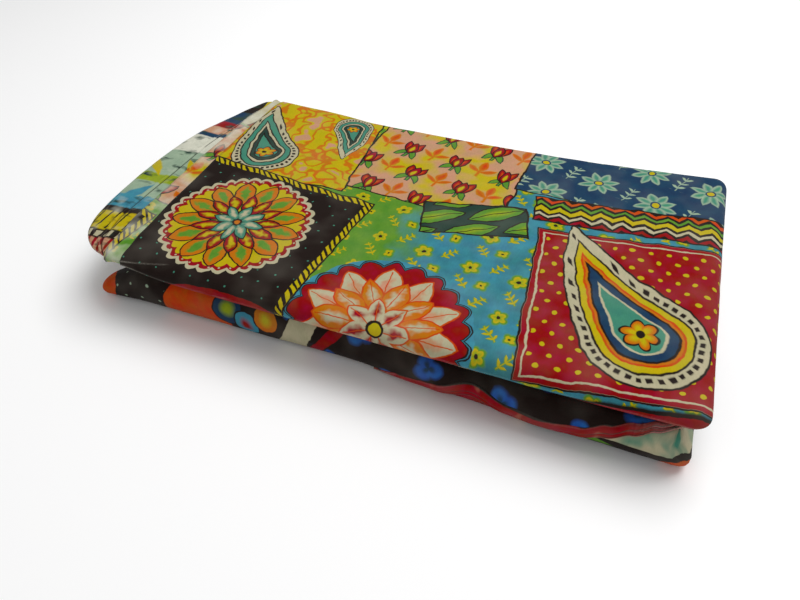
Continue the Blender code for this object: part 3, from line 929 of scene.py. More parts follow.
def place_at(x, y):
    node = x.tree.nodes.new("ShaderNodeCombineXYZ")
    for i, value in enumerate((x, y)):
        x.tree.links.new(value.socket, node.inputs[i])
    return Place(x.tree, node.outputs[0])


def linear(colour):
    """A screen colour, 0 to 1, as linear light."""
    return tuple(c / 12.92 if c <= 0.04045 else ((c + 0.055) / 1.055) ** 2.4 for c in colour)


class Drawing:
    """What has been painted so far. Each layer lies over the ones before it."""

    def __init__(self, tree, ink):
        self.tree, self.socket, self.plain = tree, None, ink

    def feed(self, socket, value):
        if isinstance(value, Drawing):
            if value.socket is None:
                socket.default_value = (*linear(value.plain), 1.0)
            else:
                self.tree.links.new(value.socket, socket)
        else:
            socket.default_value = (*linear(value), 1.0)

    def over(self, mask, ink):
        """Paints an ink, or another drawing, where a mask is 1."""
        node = self.tree.nodes.new("ShaderNodeMix")
        node.data_type = "RGBA"
        self.feed(node.inputs[6], self)
        self.feed(node.inputs[7], ink)
        self.tree.links.new(mask.socket, node.inputs[0])
        self.socket = node.outputs[2]
        return self

    def outlined(self, distance, ink, line, width=0.8, soft=0.35):
        """Paints a shape with an outline round it."""
        return self.over(distance.under(width, soft), line).over(distance.under(0.0, soft), ink)


def flower(place, radius, petals, notch=0.38):
    """The distance to the edge of a flower with round petals, less than 0 inside."""
    petal = (place.angle() * (petals / 2)).cosine().size()
    return place.length() - petal.times_plus(radius * notch, radius * (1 - notch))


def leaf(place, length, width):
    """The distance to the edge of a pointed leaf that lies along y."""
    offset = (length**2 - width**2) / (2 * width)
    return place.folded().moved(-offset, 0.0).length() - (offset + width)


def spun(place, count, out, turn=0.0):
    """The place as seen from the nearest of some spots on a ring, with y pointing outwards."""
    angle = (place.angle() + math.radians(turn)).repeat(2 * math.pi / count)
    away = place.length()
    return place_at(angle.sine() * away, angle.cosine() * away - out)


def block(place, half_width, half_height):
    """The distance to the edge of a rectangle."""
    return (place.x.size() - half_width).most(place.y.size() - half_height)


def drop(place, length, radius, bend):
    """The distance to the edge of a paisley: a round head, and a tail that tapers up and leans over."""
    share = place.y.maths("MULTIPLY", 1.0 / length, clamp=True)
    lean = share * share * bend
    taper = (1.0 - share).power(0.75) * radius
    return place_at(place.x - lean, place.y - share * length).length() - taper


def bricks(place, width, height):
    """The place as seen from the nearest point of a lattice whose odd rows are moved by half."""
    row = (place.y * (1.0 / height)).whole()
    odd = (row * 0.5).maths("FRACT") * width
    return place_at(place.x + odd, place.y).moved(0.0, height / 2).repeated(width, height)


def flower_field(tree, place, inks):
    """Yellow flowers with green edges, and small leaves, on a blue ground."""
    cloud = Number(tree, place.noise(24.0, seed=3.0).outputs[0])
    drawing = Drawing(tree, inks.turquoise).over(cloud.under(0.5, 0.3), inks.teal)
    drawing.over((place.x + cloud * 50.0).under(38.0, 26.0), inks.leaf_green)
    for x, y, radius, petals, turn in ((0, 0, 5.0, 5, 20), (15, 17, 3.1, 4, 40)):
        spot = place.moved(x, y).turned(8.0).repeated(31, 31).turned(turn)
        shape = flower(spot, radius, petals)
        drawing.over(shape.under(1.7, 1.4), inks.leaf_green)
        drawing.over(shape.under(0.0, 0.9), inks.yellow)
        drawing.over(shape.under(-2.0, 2.4), inks.yellow_green)
        drawing.over(spot.length().under(radius * 0.24), inks.dark_brown)
    for x, y, turn in ((16, 3, 35), (3, 17, -50)):
        sprig = place.moved(x, y).turned(8.0).repeated(31, 31).turned(turn)
        drawing.over(twig(sprig, 5.2, 4.2, 2.0, 0.85).under(0.5, 0.9), inks.leaf_green)
        drawing.over(twig(sprig, 5.2, 4.2, 2.0, 0.85).under(0.0, 0.5), inks.yellow)
    return drawing


def twig(place, reach, gap, length, width):
    """The distance to the edge of a straight stalk along y with pairs of leaves."""
    away = place.x.size()
    pair = place_at(away, place.y.repeat(gap) - away * 0.7)
    leaves = leaf(pair.moved(length * 0.75, 0.0).turned(90), length, width)
    return leaves.most(block(place, length * 2.4, reach)).least(block(place, 0.25, reach + 1.0))


def tulip_field(tree, place, inks):
    """Red tulips with green leaves, and orange sprigs, on a peach ground with yellow clouds."""
    cloud = Number(tree, place.noise(30.0, seed=11.0).outputs[0])
    drawing = Drawing(tree, inks.peach).over(cloud.under(0.47, 0.14), inks.yellow)
    sprig = bricks(place.turned(12).moved(19, 3), 38.0, 29.0)
    away = place_at(sprig.x.size(), sprig.y)
    shape = leaf(sprig.moved(0, 3.5), 7.0, 3.0).least(leaf(away.moved(5.2, -2.0).turned(55), 6.4, 2.2))
    shape = shape.least(block(sprig.moved(0.0, -6.5), 0.9, 5.0))
    drawing.over(shape.under(0.0, 0.8), inks.orange).over(shape.under(-1.4, 1.6), inks.red_orange)
    bud = bricks(place.turned(12), 38.0, 29.0).moved(0.0, 1.0)
    away = place_at(bud.x.size(), bud.y)
    leaves = leaf(away.moved(4.0, -7.5).turned(-34), 6.6, 2.0)
    leaves = leaves.least(block(bud.moved(0.0, -8.0), 0.55, 4.5))
    drawing.outlined(leaves, inks.leaf_green, inks.dark_green, 0.8)
    outer = leaf(away.moved(3.4, 1.2).turned(20), 7.8, 2.9)
    drawing.outlined(outer, inks.crimson, inks.dark_brown, 0.9)
    drawing.over(outer.under(-1.5, 1.6), inks.red_orange)
    inner = leaf(bud.moved(0.0, 0.4), 7.4, 3.1)
    drawing.outlined(inner, inks.crimson, inks.dark_brown, 0.9)
    return drawing.over(leaf(bud.moved(0.0, -0.8), 4.4, 1.5).under(0.0, 0.9), inks.yellow)


def paisley(drawing, place, inks, bands, size):
    """A large paisley of nested bands, each an inset in millimetres with its ink and line, and a flower."""
    spot = place.scaled(1.0 / size, 1.0 / size)
    shape = drop(spot, 52.0, 19.0, 17.0)
    drawing.over(shape.under(1.3), inks.dark_brown)
    for inset, ink, line in bands:
        drawing.over(shape.under(-inset), getattr(inks, line))
        drawing.over(shape.under(-inset - 0.8), getattr(inks, ink))
    bead = spun(spot, 34, 0.0).x.size()
    ring = (shape + 1.9).size().under(0.85, 0.5)
    drawing.over(bead.under(0.9) * ring, inks.dark_brown)
    petals = flower(spot.moved(0.0, 0.5), 5.6, 6)
    drawing.outlined(petals, inks.orange, inks.dark_brown, 0.8).over(petals.under(-1.6, 2.0), inks.yellow)
    drawing.over(spot.moved(0.0, 0.5).length().under(1.5), inks.dark_brown)


TEAL_BANDS = (
    (-0.5, "cream", "cream"), (3.6, "mint_green", "dark_brown"), (7.4, "cream", "dark_brown"),
    (9.6, "dark_green", "dark_brown"), (12.0, "mint_green", "dark_brown"),
)
YELLOW_BANDS = (
    (-0.5, "cream", "cream"), (3.6, "yellow", "dark_brown"), (6.6, "orange", "red_orange"),
    (8.2, "navy", "dark_brown"), (11.4, "mint_green", "cream"),
)


def paisley_field(tree, place, inks):
    """Striped paisleys among orange scrolls on a yellow ground."""
    wisp = Number(tree, place.noise(13.0, 1.0, seed=5.0).outputs[0])
    drawing = Drawing(tree, inks.yellow).over((wisp - 0.5).size().under(0.04, 0.03), inks.orange)
    drawing.over((0.64 - wisp).under(0.0, 0.04), inks.peach)
    for x, y, turn, size in ((-121, 30, -38, 1.25), (-74, 88, 150, 0.8)):
        paisley(drawing, place.moved(x, y).turned(turn), inks, TEAL_BANDS, size)
    return drawing


def medallion(tree, drawing, place, inks):
    """A round rosette of rings of petals."""
    wash = Number(tree, place.noise(4.0, 1.0).outputs[0]).times_plus(5.0, -2.5)
    rim = flower(place, 50.0, 34, 0.06)
    drawing.outlined(rim, inks.cream, inks.dark_brown, 1.2)
    drawing.over(rim.under(-2.8), inks.crimson).over(rim.under(-6.2), inks.yellow)
    drawing.over(spun(place, 44, 44.8).length().under(0.7), inks.cream)
    for count, out, length, width, turn, fill, heart in (
        (13, 31.0, 12.0, 6.4, 0.0, inks.orange, inks.leaf_green),
        (13, 20.0, 9.0, 3.6, 13.8, inks.crimson, inks.yellow),
        (8, 10.0, 7.4, 3.3, 0.0, inks.mint_green, inks.cream),
    ):
        petal = leaf(spun(place, count, out, turn), length, width)
        drawing.outlined(petal, fill, inks.dark_brown, 0.9)
        drawing.over((petal + wash).under(-width * 0.52, 1.9), heart)
    hub = place.length()
    drawing.over(hub.under(3.6), inks.dark_brown).over(hub.under(2.2), inks.orange)


def lotus(tree, drawing, place, inks):
    """A wide lotus of cream and orange petals with a red edge."""
    wash = Number(tree, place.noise(5.0, 1.0).outputs[0]).times_plus(8.0, -4.0)
    rim = flower(place, 52.0, 22, 0.09)
    drawing.over(rim.under(2.4), inks.dark_brown).over(rim.under(1.4, 0.6), inks.turquoise)
    drawing.outlined(rim, inks.crimson, inks.dark_brown, 0.9)
    for count, out, length, width, turn, fill, heart in (
        (11, 30.0, 17.0, 8.0, 0.0, inks.cream, inks.peach),
        (11, 24.0, 13.0, 6.2, 16.4, inks.orange, inks.cream),
        (7, 12.0, 9.0, 5.0, 0.0, inks.cream, inks.crimson),
    ):
        spot = spun(place, count, out, turn)
        petal = leaf(spot, length, width)
        drawing.outlined(petal, fill, inks.red_orange, 1.0)
        drawing.over((petal + wash).under(-width * 0.55, 3.0), heart)
        drawing.over(spot.x.size().under(0.3) * petal.under(-1.0), inks.red_orange)
    hub = place.length()
    return drawing.over(hub.under(5.0), inks.dark_brown).over(hub.under(3.6), inks.yellow)


def daisy_field(tree, place, inks):
    """Pale daisies and twigs on a navy ground."""
    drawing = Drawing(tree, inks.navy)
    twigs = bricks(place.turned(20).moved(22, 0), 42.0, 33.0)
    shape = twig(twigs, 8.4, 5.6, 2.9, 1.15)
    drawing.over(shape.under(0.0, 0.5), inks.mint)
    spot = bricks(place.turned(20), 42.0, 33.0)
    petal = leaf(spun(spot, 8, 7.4), 6.4, 3.0)
    drawing.over(petal.under(0.9), inks.navy).over(petal.under(0.0, 0.9), inks.mint)
    drawing.over(petal.under(-1.4, 1.8), inks.mint_green)
    hub = spot.length()
    return drawing.over(hub.under(3.4), inks.navy).over(hub.under(2.3), inks.yellow)


def chevrons(tree, place, inks):
    """Rows of zigzag lines on a dark ground."""
    drawing = Drawing(tree, inks.dark_brown)
    tooth = place.x.repeat(13.0).size() * 0.8
    for at, half_width, ink in (
        (-12.0, 1.7, inks.crimson), (-6.4, 1.4, inks.cream), (0.0, 2.2, inks.yellow),
        (6.2, 1.3, inks.leaf_green), (11.6, 1.5, inks.red_orange),
    ):
        drawing.over((place.y + tooth - at - 2.6).size().under(half_width), ink)
    return drawing


def leaf_field(tree, place, inks):
    """Broad green leaves on a dark ground."""
    drawing = Drawing(tree, inks.dark_green)
    spot = bricks(place.turned(-24), 40.0, 17.0).turned(80)
    blade = leaf(spot, 19.0, 6.6)
    drawing.outlined(blade, inks.leaf_green, inks.dark_brown, 1.0)
    drawing.over(blade.under(-4.0, 3.4), inks.yellow_green)
    return drawing.over(spot.x.size().under(0.4) * blade.under(-0.8), inks.dark_brown)


def dark_stretch(tree, place, inks):
    """Blue blots on dark brown, and bright discs and bars at the left."""
    drawing = Drawing(tree, inks.dark_brown)
    blot = bricks(place.moved(8.0, -171.0).turned(6), 44.0, 24.0)
    shape = flower(blot, 8.0, 3, 0.34)
    blots = shape.under(0.0, 2.6) * (-40.0 - place.x).under(0.0)
    drawing.over(blots, inks.blue).over(blots * shape.under(-4.4, 2.4), inks.navy)
    speckle = bricks(place, 13.0, 10.0).length().under(0.9, 0.6)
    drawing.over(speckle * place.x.under(-66.0), inks.mint)
    for x, y, radius, fill, heart in (
        (-190, -168, 26, inks.red_orange, inks.red_orange),
        (-102, -178, 25, inks.red_orange, inks.red_orange),
        (-78, -166, 10, inks.navy, inks.yellow_green),
        (-65, -173, 8, inks.turquoise, inks.crimson),
        (-51, -166, 8, inks.orange, inks.yellow),
    ):
        disc = place.moved(x, y).length()
        drawing.outlined(disc - radius, fill, inks.dark_brown, 0.9)
        drawing.over(disc.under(radius * 0.45, 4.0), heart)
    for x, turn, half_width, ink in ((-31.0, 24, 8.2, inks.cream), (-13.0, 38, 3.6, inks.crimson)):
        slope = place.moved(x, -172.0).turned(turn).x.size()
        drawing.outlined(slope - half_width, ink, inks.dark_brown, 1.1)
    return drawing


def slanting_bars(tree, place, inks):
    """Broad leaning bars of many inks, with a green wash, a dark foot, and a disc at the right corner."""
    drawing = Drawing(tree, inks.crimson)
    for x, half_width, turn, ink in (
        (-20, 12, 30, inks.cream), (12, 9, -25, inks.red_orange), (50, 7, 35, inks.cream),
        (78, 11, -40, inks.crimson), (104, 6, 30, inks.peach), (116, 5, 20, inks.yellow),
        (126, 6, -30, inks.dark_brown), (142, 9, 30, inks.mint_green), (190, 38, 20, inks.cream),
    ):
        bar = place.moved(x, -245.0).turned(turn).x.size()
        drawing.outlined(bar - half_width, ink, inks.dark_brown, 0.9)
    washed = Number(tree, place.noise(22.0, seed=8.0).outputs[0])
    drawing.over(washed.under(0.47, 0.2) * (160.0 - place.x).under(0.0, 6.0), inks.mint_green)
    foot = place.moved(128.0, -243.0).turned(-1.5)
    drawing.over((-foot.y).under(0.0) * (foot.x - 31.0).size().under(30.0, 3.0), inks.dark_brown)
    drawing.over(leaf(foot.moved(20.0, 4.5).turned(76), 10.0, 3.0).under(0.0, 1.0), inks.leaf_green)
    corner = place.moved(190.0, -231.0).length()
    return drawing.over(corner.under(12.5), inks.dark_brown).over(corner.under(8.5), inks.red_orange)


def crossing_bands(tree, place, inks):
    """Bands across the cloth: stripes, checks and plain ones, from the front to the back."""
    drawing = Drawing(tree, inks.peach)
    drawing.over(place.x.repeat(6.0).size().under(1.2, 0.6), inks.crimson)
    for y, ink in (
        (-92.0, inks.dark_brown), (-84.0, inks.yellow), (-66.0, inks.dark_brown), (-60.0, inks.turquoise),
        (-46.0, inks.mint), (-28.0, inks.yellow_green), (-18.0, inks.mint), (14.0, inks.white_cloth),
        (38.0, inks.navy), (44.0, inks.peach), (54.0, inks.crimson), (62.0, inks.navy),
        (80.0, inks.dark_brown),
    ):
        drawing.over((y - place.y).under(0.0, 1.4), ink)
    wisps = Number(tree, place.scaled(0.5, 1.0).noise(7.0, 2.0, 5.0).outputs[0])
    drawing.over(wisps.times_plus(-7.0, 3.15), inks.dark_green)
    check = place_at(place.x.repeat(8.0), place.y + 88.0)
    drawing.over(block(check, 2.0, 2.6).under(0.0), inks.cream)
    bars = place.x.repeat(6.5).size().under(0.6) * (place.y + 74.0).size().under(9.0)
    drawing.over(bars, inks.dark_brown)
    petal = leaf(place_at(place.x.repeat(26.0), place.y + 42.0).turned(30), 13.0, 4.0)
    drawing.over(petal.under(0.0, 1.6), inks.turquoise)
    petal = leaf(place_at((place.x + 9.0).repeat(30.0), place.y + 8.0).turned(-40), 15.0, 3.6)
    return drawing.over(petal.under(0.0, 1.2), inks.yellow)


def rope(drawing, place, edge, inks, width):
    """A frame of yellow with dark slanting bars, just inside a panel's edge."""
    drawing.over(edge.under(0.0), inks.yellow)
    drawing.over((place.x + place.y).repeat(5.0).size().under(1.1) * edge.under(0.0), inks.dark_brown)
    drawing.over(edge.under(-width), inks.dark_brown)


# The print repeats after these many millimetres, and its edges wander by a grain and a reach, twice
PRINT_WIDTH = 480.0
PRINT_LENGTH = 400.0
PRINT_MIDDLE = 80.0
WANDER = ((17.0, 5.0), (3.4, 1.1))


def block_print(inks):
    """The whole print as one node group, from a place on the cloth in millimetres to a colour."""
    tree = bpy.data.node_groups.new("block print", "ShaderNodeTree")
    tree.interface.new_socket("Cloth", in_out="INPUT", socket_type="NodeSocketVector")
    tree.interface.new_socket("Color", in_out="OUTPUT", socket_type="NodeSocketColor")
    place = Place(tree, tree.nodes.new("NodeGroupInput").outputs[0])
    for grain, reach in WANDER:
        wander = Place(tree, place.noise(grain, 1.0).outputs["Color"]).moved(0.5, 0.5).scaled(reach, reach)
        place = Place(tree, place.vector("ADD", wander).outputs[0])
    place = place.moved(0.0, -PRINT_MIDDLE).repeated(PRINT_WIDTH, PRINT_LENGTH).moved(0.0, PRINT_MIDDLE)

    cloth = flower_field(tree, place, inks)
    for x, y, turn, half_width, half_height, paint in (
        (6, 62, 5, 58, 52, tulip_field),
        (-108, 60, -4, 56, 57, paisley_field),
        (140, 84, 3, 75, 36, daisy_field),
        (148, 38, -4, 68, 13, chevrons),
        (46, 6, -14, 33, 16, leaf_field),
    ):
        panel = place.moved(x, y).turned(turn)
        edge = block(panel, half_width, half_height)
        painted = paint(tree, panel if paint in (chevrons, daisy_field) else place, inks)
        cloth.over(edge.under(1.3), inks.dark_brown).over(edge.under(0.0), painted)

    spot = place.moved(22.0, -104.0)
    cloth.over(spot.length().under(54.4), lotus(tree, Drawing(tree, inks.turquoise), spot, inks))
    panel = place.moved(150.0, -44.0).turned(-6.0)
    edge = block(panel, 56.0, 61.0)
    cloth.over(edge.under(1.2), inks.dark_brown).over(edge.under(0.0), inks.crimson)
    dots = bricks(panel, 10.0, 8.0).length()
    cloth.over(dots.under(1.5) * edge.under(-5.0), inks.yellow).over(edge.size().under(0.0), inks.cream)
    cloth.over((edge + 3.4).size().under(0.6), inks.cream)
    paisley(cloth, place.moved(158.0, -62.0).turned(-50), inks, YELLOW_BANDS, 1.75)

    panel = place.moved(-98.0, -62.0).turned(6.0)
    edge = block(panel, 70.0, 68.0)
    cloth.over(edge.under(1.2), inks.dark_brown)
    rope(cloth, panel, edge, inks, 4.6)
    dots = bricks(place, 12.0, 9.0).length().under(0.6)
    cloth.over(dots * edge.under(-6.0), inks.mint_green)
    medallion(tree, cloth, place.moved(-96.0, -50.0), inks)

    bar = leaf(place.moved(-86.0, -116.5).turned(84.0), 47.0, 8.0)
    cloth.outlined(bar, inks.crimson, inks.dark_brown, 1.6)
    hem = place.moved(155.0, -111.2).turned(-8.8).y
    beyond = (90.0 - place.x).under(0.0, 8.0)
    cloth.over(hem.under(2.6, 1.6) * beyond, inks.dark_brown).over(hem.under(0.0) * beyond, inks.crimson)
    cloth.over((place.y + 142.0).under(0.0), dark_stretch(tree, place, inks))
    cloth.over((place.y + 214.0).under(0.0), slanting_bars(tree, place, inks))
    wrong_side = (place.x + 160.0).under(0.0) * (-142.0 - place.y).under(0.0)
    cloth.over(wrong_side, crossing_bands(tree, place, inks))
    tree.links.new(cloth.socket, tree.nodes.new("NodeGroupOutput").inputs[0])
    return tree


# How the dye is uneven: the size of its blotches and specks in millimetres, and how strong they are
DYE_BLOTCH = 9.0
DYE_BLOTCH_DEPTH = 0.30
DYE_SPECK = 1.1
DYE_SPECK_DEPTH = 0.16
WEAVE_HEIGHT = 0.00006
WEAVE_STRENGTH = 0.6
ROUGHNESS = 0.78
ROUGHNESS_SPREAD = 0.16
SPECULAR = 0.08
SHEEN = 0.03
SHEEN_ROUGHNESS = 0.5
MM = 1000.0


def dyed(tree, place, colour, inks, depth):
    """The print as it takes to cotton: uneven, and a little greyed by the bare thread between the inks;
    pale with rubbed dye and a painted highlight on folds; with painted shade in creases.
    """
    tone = Number(tree, place.noise(DYE_BLOTCH, 2.0, 31.0).outputs[0])
    fine = Number(tree, place.scaled(1.0, 0.35).noise(DYE_SPECK, 1.0, 7.0).outputs[0])
    shade = (tone - 0.5) * DYE_BLOTCH_DEPTH + (fine - 0.5) * DYE_SPECK_DEPTH + depth
    node = tree.nodes.new("ShaderNodeHueSaturation")
    tree.links.new(colour.socket, node.inputs["Color"])
    tree.links.new(shade.socket, node.inputs["Value"])
    hue = tone.times_plus(-0.05, 0.525)
    tree.links.new(hue.socket, node.inputs["Hue"])
    node.inputs["Saturation"].default_value = 1.08
    colour.socket = node.outputs[0]
    wear_and_painted_light = tree.nodes.new("ShaderNodeAttribute")
    wear_and_painted_light.attribute_name = "wear_and_painted_light"
    bend = Number(tree, wear_and_painted_light.outputs["Fac"])
    # Outward bends: rubbed dye, and a painted highlight, in the bare thread's ink.
    rubbed_and_highlight = (tone + fine).times_plus(0.9, -0.40) * bend
    thin = Number(tree, place.noise(30.0, 2.0, 23.0).outputs[0]).times_plus(0.24, -0.105)
    colour.over(thin, inks.bare_thread_and_highlight).over(rubbed_and_highlight, inks.bare_thread_and_highlight)
    # Inward bends: painted shade in the creases, in the dark brown ink.
    colour.over(bend * -0.85, inks.dark_brown)


def weave(tree, place, pitch):
    """The height of a plain weave, from 0 to 1, with thicker and thinner threads."""
    slub = Number(tree, place.scaled(0.2, 1.0).noise(0.8, 1.0, 2.0).outputs[0])
    over = (place.x * (2 * math.pi / pitch)).sine() * (place.y * (2 * math.pi / pitch)).sine()
    return over.times_plus(0.35, slub * 0.5 + 0.25)


def cotton(name, paint, inks, sizes, shift=(0.0, 0.0), paleness=None):
    """Printed cotton. The paint is a function that draws on the cloth, or the group of the whole print."""
    material = bpy.data.materials.new(name)
    material.use_nodes = True
    tree = material.node_tree
    shader = tree.nodes["Principled BSDF"]
    uv = tree.nodes.new("ShaderNodeUVMap")
    uv.uv_map = "cloth"
    place = Place(tree, uv.outputs[0]).scaled(MM, MM)
    drawn_place = place.moved(-shift[0] * MM, -shift[1] * MM)
    if callable(paint):
        colour = paint(tree, drawn_place, inks)
    else:
        group = tree.nodes.new("ShaderNodeGroup")
        group.node_tree = paint
        tree.links.new(drawn_place.socket, group.inputs[0])
        colour = Drawing(tree, inks.cream)
        colour.socket = group.outputs[0]
    if paleness is not None:
        soaked = Number(tree, place.noise(14.0, 2.0, 19.0).outputs[0])
        colour.over(soaked.times_plus(2.2, paleness - 1.1), inks.white_cloth)
    dyed(tree, place, colour, inks, sizes.dye_depth)
    tree.links.new(colour.socket, shader.inputs["Base Color"])
    bump = tree.nodes.new("ShaderNodeBump")
    bump.inputs["Distance"].default_value = WEAVE_HEIGHT
    bump.inputs["Strength"].default_value = WEAVE_STRENGTH
    tree.links.new(weave(tree, place, sizes.thread_pitch * MM).socket, bump.inputs["Height"])
    tree.links.new(bump.outputs[0], shader.inputs["Normal"])
    rough = Number(tree, place.noise(5.0, 1.0, 13.0).outputs[0]).times_plus(ROUGHNESS_SPREAD, ROUGHNESS)
    tree.links.new(rough.socket, shader.inputs["Roughness"])
    shader.inputs["Specular IOR Level"].default_value = SPECULAR
    shader.inputs["Sheen Weight"].default_value = SHEEN
    shader.inputs["Sheen Roughness"].default_value = SHEEN_ROUGHNESS
    return material


def hem_cloth(tree, place, inks):
    """A crimson turned edge with pale blotches, a thin dark line near its foot and a dark upper side."""
    drawing = Drawing(tree, inks.crimson)
    wobble = Number(tree, place.noise(6.0, 1.0, 4.0).outputs[0]).times_plus(0.9, place.y - 0.45)
    drawing.over(wobble.under(1.25, 0.5), inks.dark_brown).over(wobble.under(0.75, 0.3), inks.crimson)
    blush = Number(tree, place.noise(9.0, 1.0, 6.0).outputs[0])
    drawing.over((blush - 0.58).times_plus(3.0, 0.0), inks.peach)
    return drawing.over((5.2 - wobble).under(0.0, 0.5), inks.dark_brown)


def ink(name, use, colour):
    """A colour that the panel shows, given as a web colour."""
    parts = [(colour >> shift & 255) / 255 for shift in (16, 8, 0)]
    return bpy.props.FloatVectorProperty(
        name=name, description=f"Ink of {use}",
        default=parts, min=0.0, max=1.0, size=3, subtype="COLOR_GAMMA",
    )


class FoldedClothInks(bpy.types.PropertyGroup):
    """The inks of the print, as they look on the screen."""

    # Dark Brown also paints the shade in creases.
    dark_brown: ink("Dark Brown", "outlines and dark grounds", 0x211713)
    crimson: ink("Crimson", "petals, edges and bars", 0x96262B)
    red_orange: ink("Red Orange", "petals and discs", 0xC9542A)
    orange: ink("Orange", "petals and scrolls", 0xC97830)
    peach: ink("Peach", "the tulips' ground", 0xC99A7C)
    yellow: ink("Yellow", "flowers and grounds", 0xC2B02C)
    yellow_green: ink("Yellow Green", "hearts of leaves and flowers", 0x93A636)
    leaf_green: ink("Leaf Green", "leaves and halos", 0x62923A)
    dark_green: ink("Dark Green", "the leaves' ground", 0x263F36)
    teal: ink("Teal", "the shaded flower ground", 0x3F7D86)
    turquoise: ink("Turquoise", "the bright flower ground", 0x4C8FA3)
    mint_green: ink("Mint Green", "paisleys and petals", 0x4A8A74)
    mint: ink("Mint", "daisies and twigs", 0x9DB39A)
    cream: ink("Cream", "borders and beads", 0xBFB899)
    navy: ink("Navy", "the daisies' ground", 0x24405B)
    blue: ink("Blue", "blots on the dark stretch", 0x3C63AC)
    # Bare Thread also paints the highlights along fold ridges.
    bare_thread_and_highlight: ink("Bare Thread", "rubbed folds and the wrong side", 0xB7B2A4)
    white_cloth: ink("White Cloth", "gaps in the print", 0xDCDCCB)


class FoldedClothSizes(bpy.types.PropertyGroup):
    """The cloth's own sizes."""

    thickness: bpy.props.FloatProperty(
        name="Thickness", description="Thickness of each sheet that shows",
        default=0.0006, min=0.0002, max=0.0012, unit="LENGTH",
    )
    ripple: bpy.props.FloatProperty(
        name="Ripple", description="Height of the cloth's small unevenness",
        default=0.00022, min=0.0, max=0.001, unit="LENGTH",
    )
    crease: bpy.props.FloatProperty(
        name="Crease Strength", description="How strong the pressed creases are",
        default=1.0, min=0.0, max=2.0,
    )
    thread_pitch: bpy.props.FloatProperty(
        name="Thread Pitch", description="Distance from one thread of the weave to the next but one",
        default=0.0009, min=0.0003, max=0.005, unit="LENGTH",
    )
    dye_depth: bpy.props.FloatProperty(
        name="Dye Brightness", description="How bright the dyes are",
        default=0.76, min=0.5, max=1.5,
    )


class FoldedClothStudio(bpy.types.PropertyGroup):
    """The light round the cloth."""

    key_power: bpy.props.FloatProperty(
        name="Key Light", description="Power of the large light overhead",
        default=17.0, min=0.0, unit="POWER",
    )
    fill_power: bpy.props.FloatProperty(
        name="Fill Light", description="Power of the light from the front left",
        default=2.0, min=0.0, unit="POWER",
    )
    sky: bpy.props.FloatProperty(
        name="Sky", description="Strength of the white surroundings", default=0.39, min=0.0
    )
    floor_tone: bpy.props.FloatProperty(
        name="Floor Tone", description="How pale the floor is", default=0.95, min=0.0, max=1.0
    )


def print_group():
    """The print's node group, made the first time that a piece asks for it."""
    found = bpy.data.node_groups.get("block print")
    return found or block_print(bpy.context.scene.folded_cloth_inks)


def printed(name, shift=(0.0, 0.0), paleness=None):
    """A material of the print, moved along the cloth by a shift in metres, and paler by some paleness."""
    scene = bpy.context.scene
    return cotton(name, print_group(), scene.folded_cloth_inks, scene.folded_cloth_sizes, shift, paleness)


def plainly_dyed(name, paint):
    scene = bpy.context.scene
    return cotton(name, paint, scene.folded_cloth_inks, scene.folded_cloth_sizes)


def add_cloth(name, surface, material, nodes=()):
    """One piece of cloth, dressed and tied to the frame."""
    points, cloth = surface
    piece = cloth_piece(name, points, cloth, bpy.context.scene.folded_cloth_sizes.thickness)
    dress(piece, material, nodes)
    return piece


def add_sheet(name, surface, material, nodes):
    """A piece of cloth, added as add_cloth adds it."""
    piece = add_cloth(name, surface, material, nodes)


class FOLDEDCLOTH_OT_printed_face(bpy.types.Operator):
    """Lays the printed face over the upper pack"""

    bl_idname = "folded_cloth.printed_face"
    bl_label = "Printed Face"
    bl_options = {"REGISTER", "UNDO"}

    def execute(self, context):
        surface = top_face(context.scene.folded_cloth_sizes)
        material = printed("printed face")
        add_sheet(
            "top_face", surface, material, ["top_stretch"],
        )
        return {"FINISHED"}


class FOLDEDCLOTH_OT_left_end(bpy.types.Operator):
    """Lays the pale band, the strip beyond it and the two rolled layers at the left end"""

    bl_idname = "folded_cloth.left_end"
    bl_label = "Left End"
    bl_options = {"REGISTER", "UNDO"}

    def execute(self, context):
        sizes = context.scene.folded_cloth_sizes
        band = printed("pale band", (0.130, 0.060), 0.27)
        add_sheet(
            "selvage_band", selvage_band(sizes), band, [],
        )
        strip = printed("wrong side of the strip", (0.0, 0.0), -0.16)
        add_sheet(
            "reverse_strip", reverse_strip(sizes), strip, ["turned_strip"],
        )
        roll = printed("wrong side of the roll", (0.0, 0.0), -0.14)
        for name, depth, pulled_in, nodes in (
            ("outer_roll", 0.0, 0.0, ["left_roll"]),
            ("inner_roll", 0.0012, 0.0015, []),
        ):
            surface = rolled_layer(sizes, depth, pulled_in, 5.0 + 1000 * depth)
            add_sheet(name, surface, roll, nodes)
        return {"FINISHED"}


class FOLDEDCLOTH_OT_dark_stretch(bpy.types.Operator):
    """Lays the dark stretch over the lower pack, with the two turned edges of its hem"""

    bl_idname = "folded_cloth.dark_stretch"
    bl_label = "Dark Stretch"
    bl_options = {"REGISTER", "UNDO"}

    def execute(self, context):
        dark = printed("dark stretch", (0.0, -0.055))
        crimson = plainly_dyed("crimson hem", hem_cloth)
        for name, start, width, below, proud, seed in (
            ("hem_band", 0.018, 0.0062, -0.0004, 0.0013, 1.0),
            ("hem_lining", 0.040, 0.0040, 0.0022, 0.0006, 2.0),
        ):
            add_cloth(name, hem_fold(start, width, below, proud, seed), crimson)
        surface = middle_face(context.scene.folded_cloth_sizes)
        add_sheet(
            "middle_face", surface, dark, ["middle_stretch"],
        )
        return {"FINISHED"}


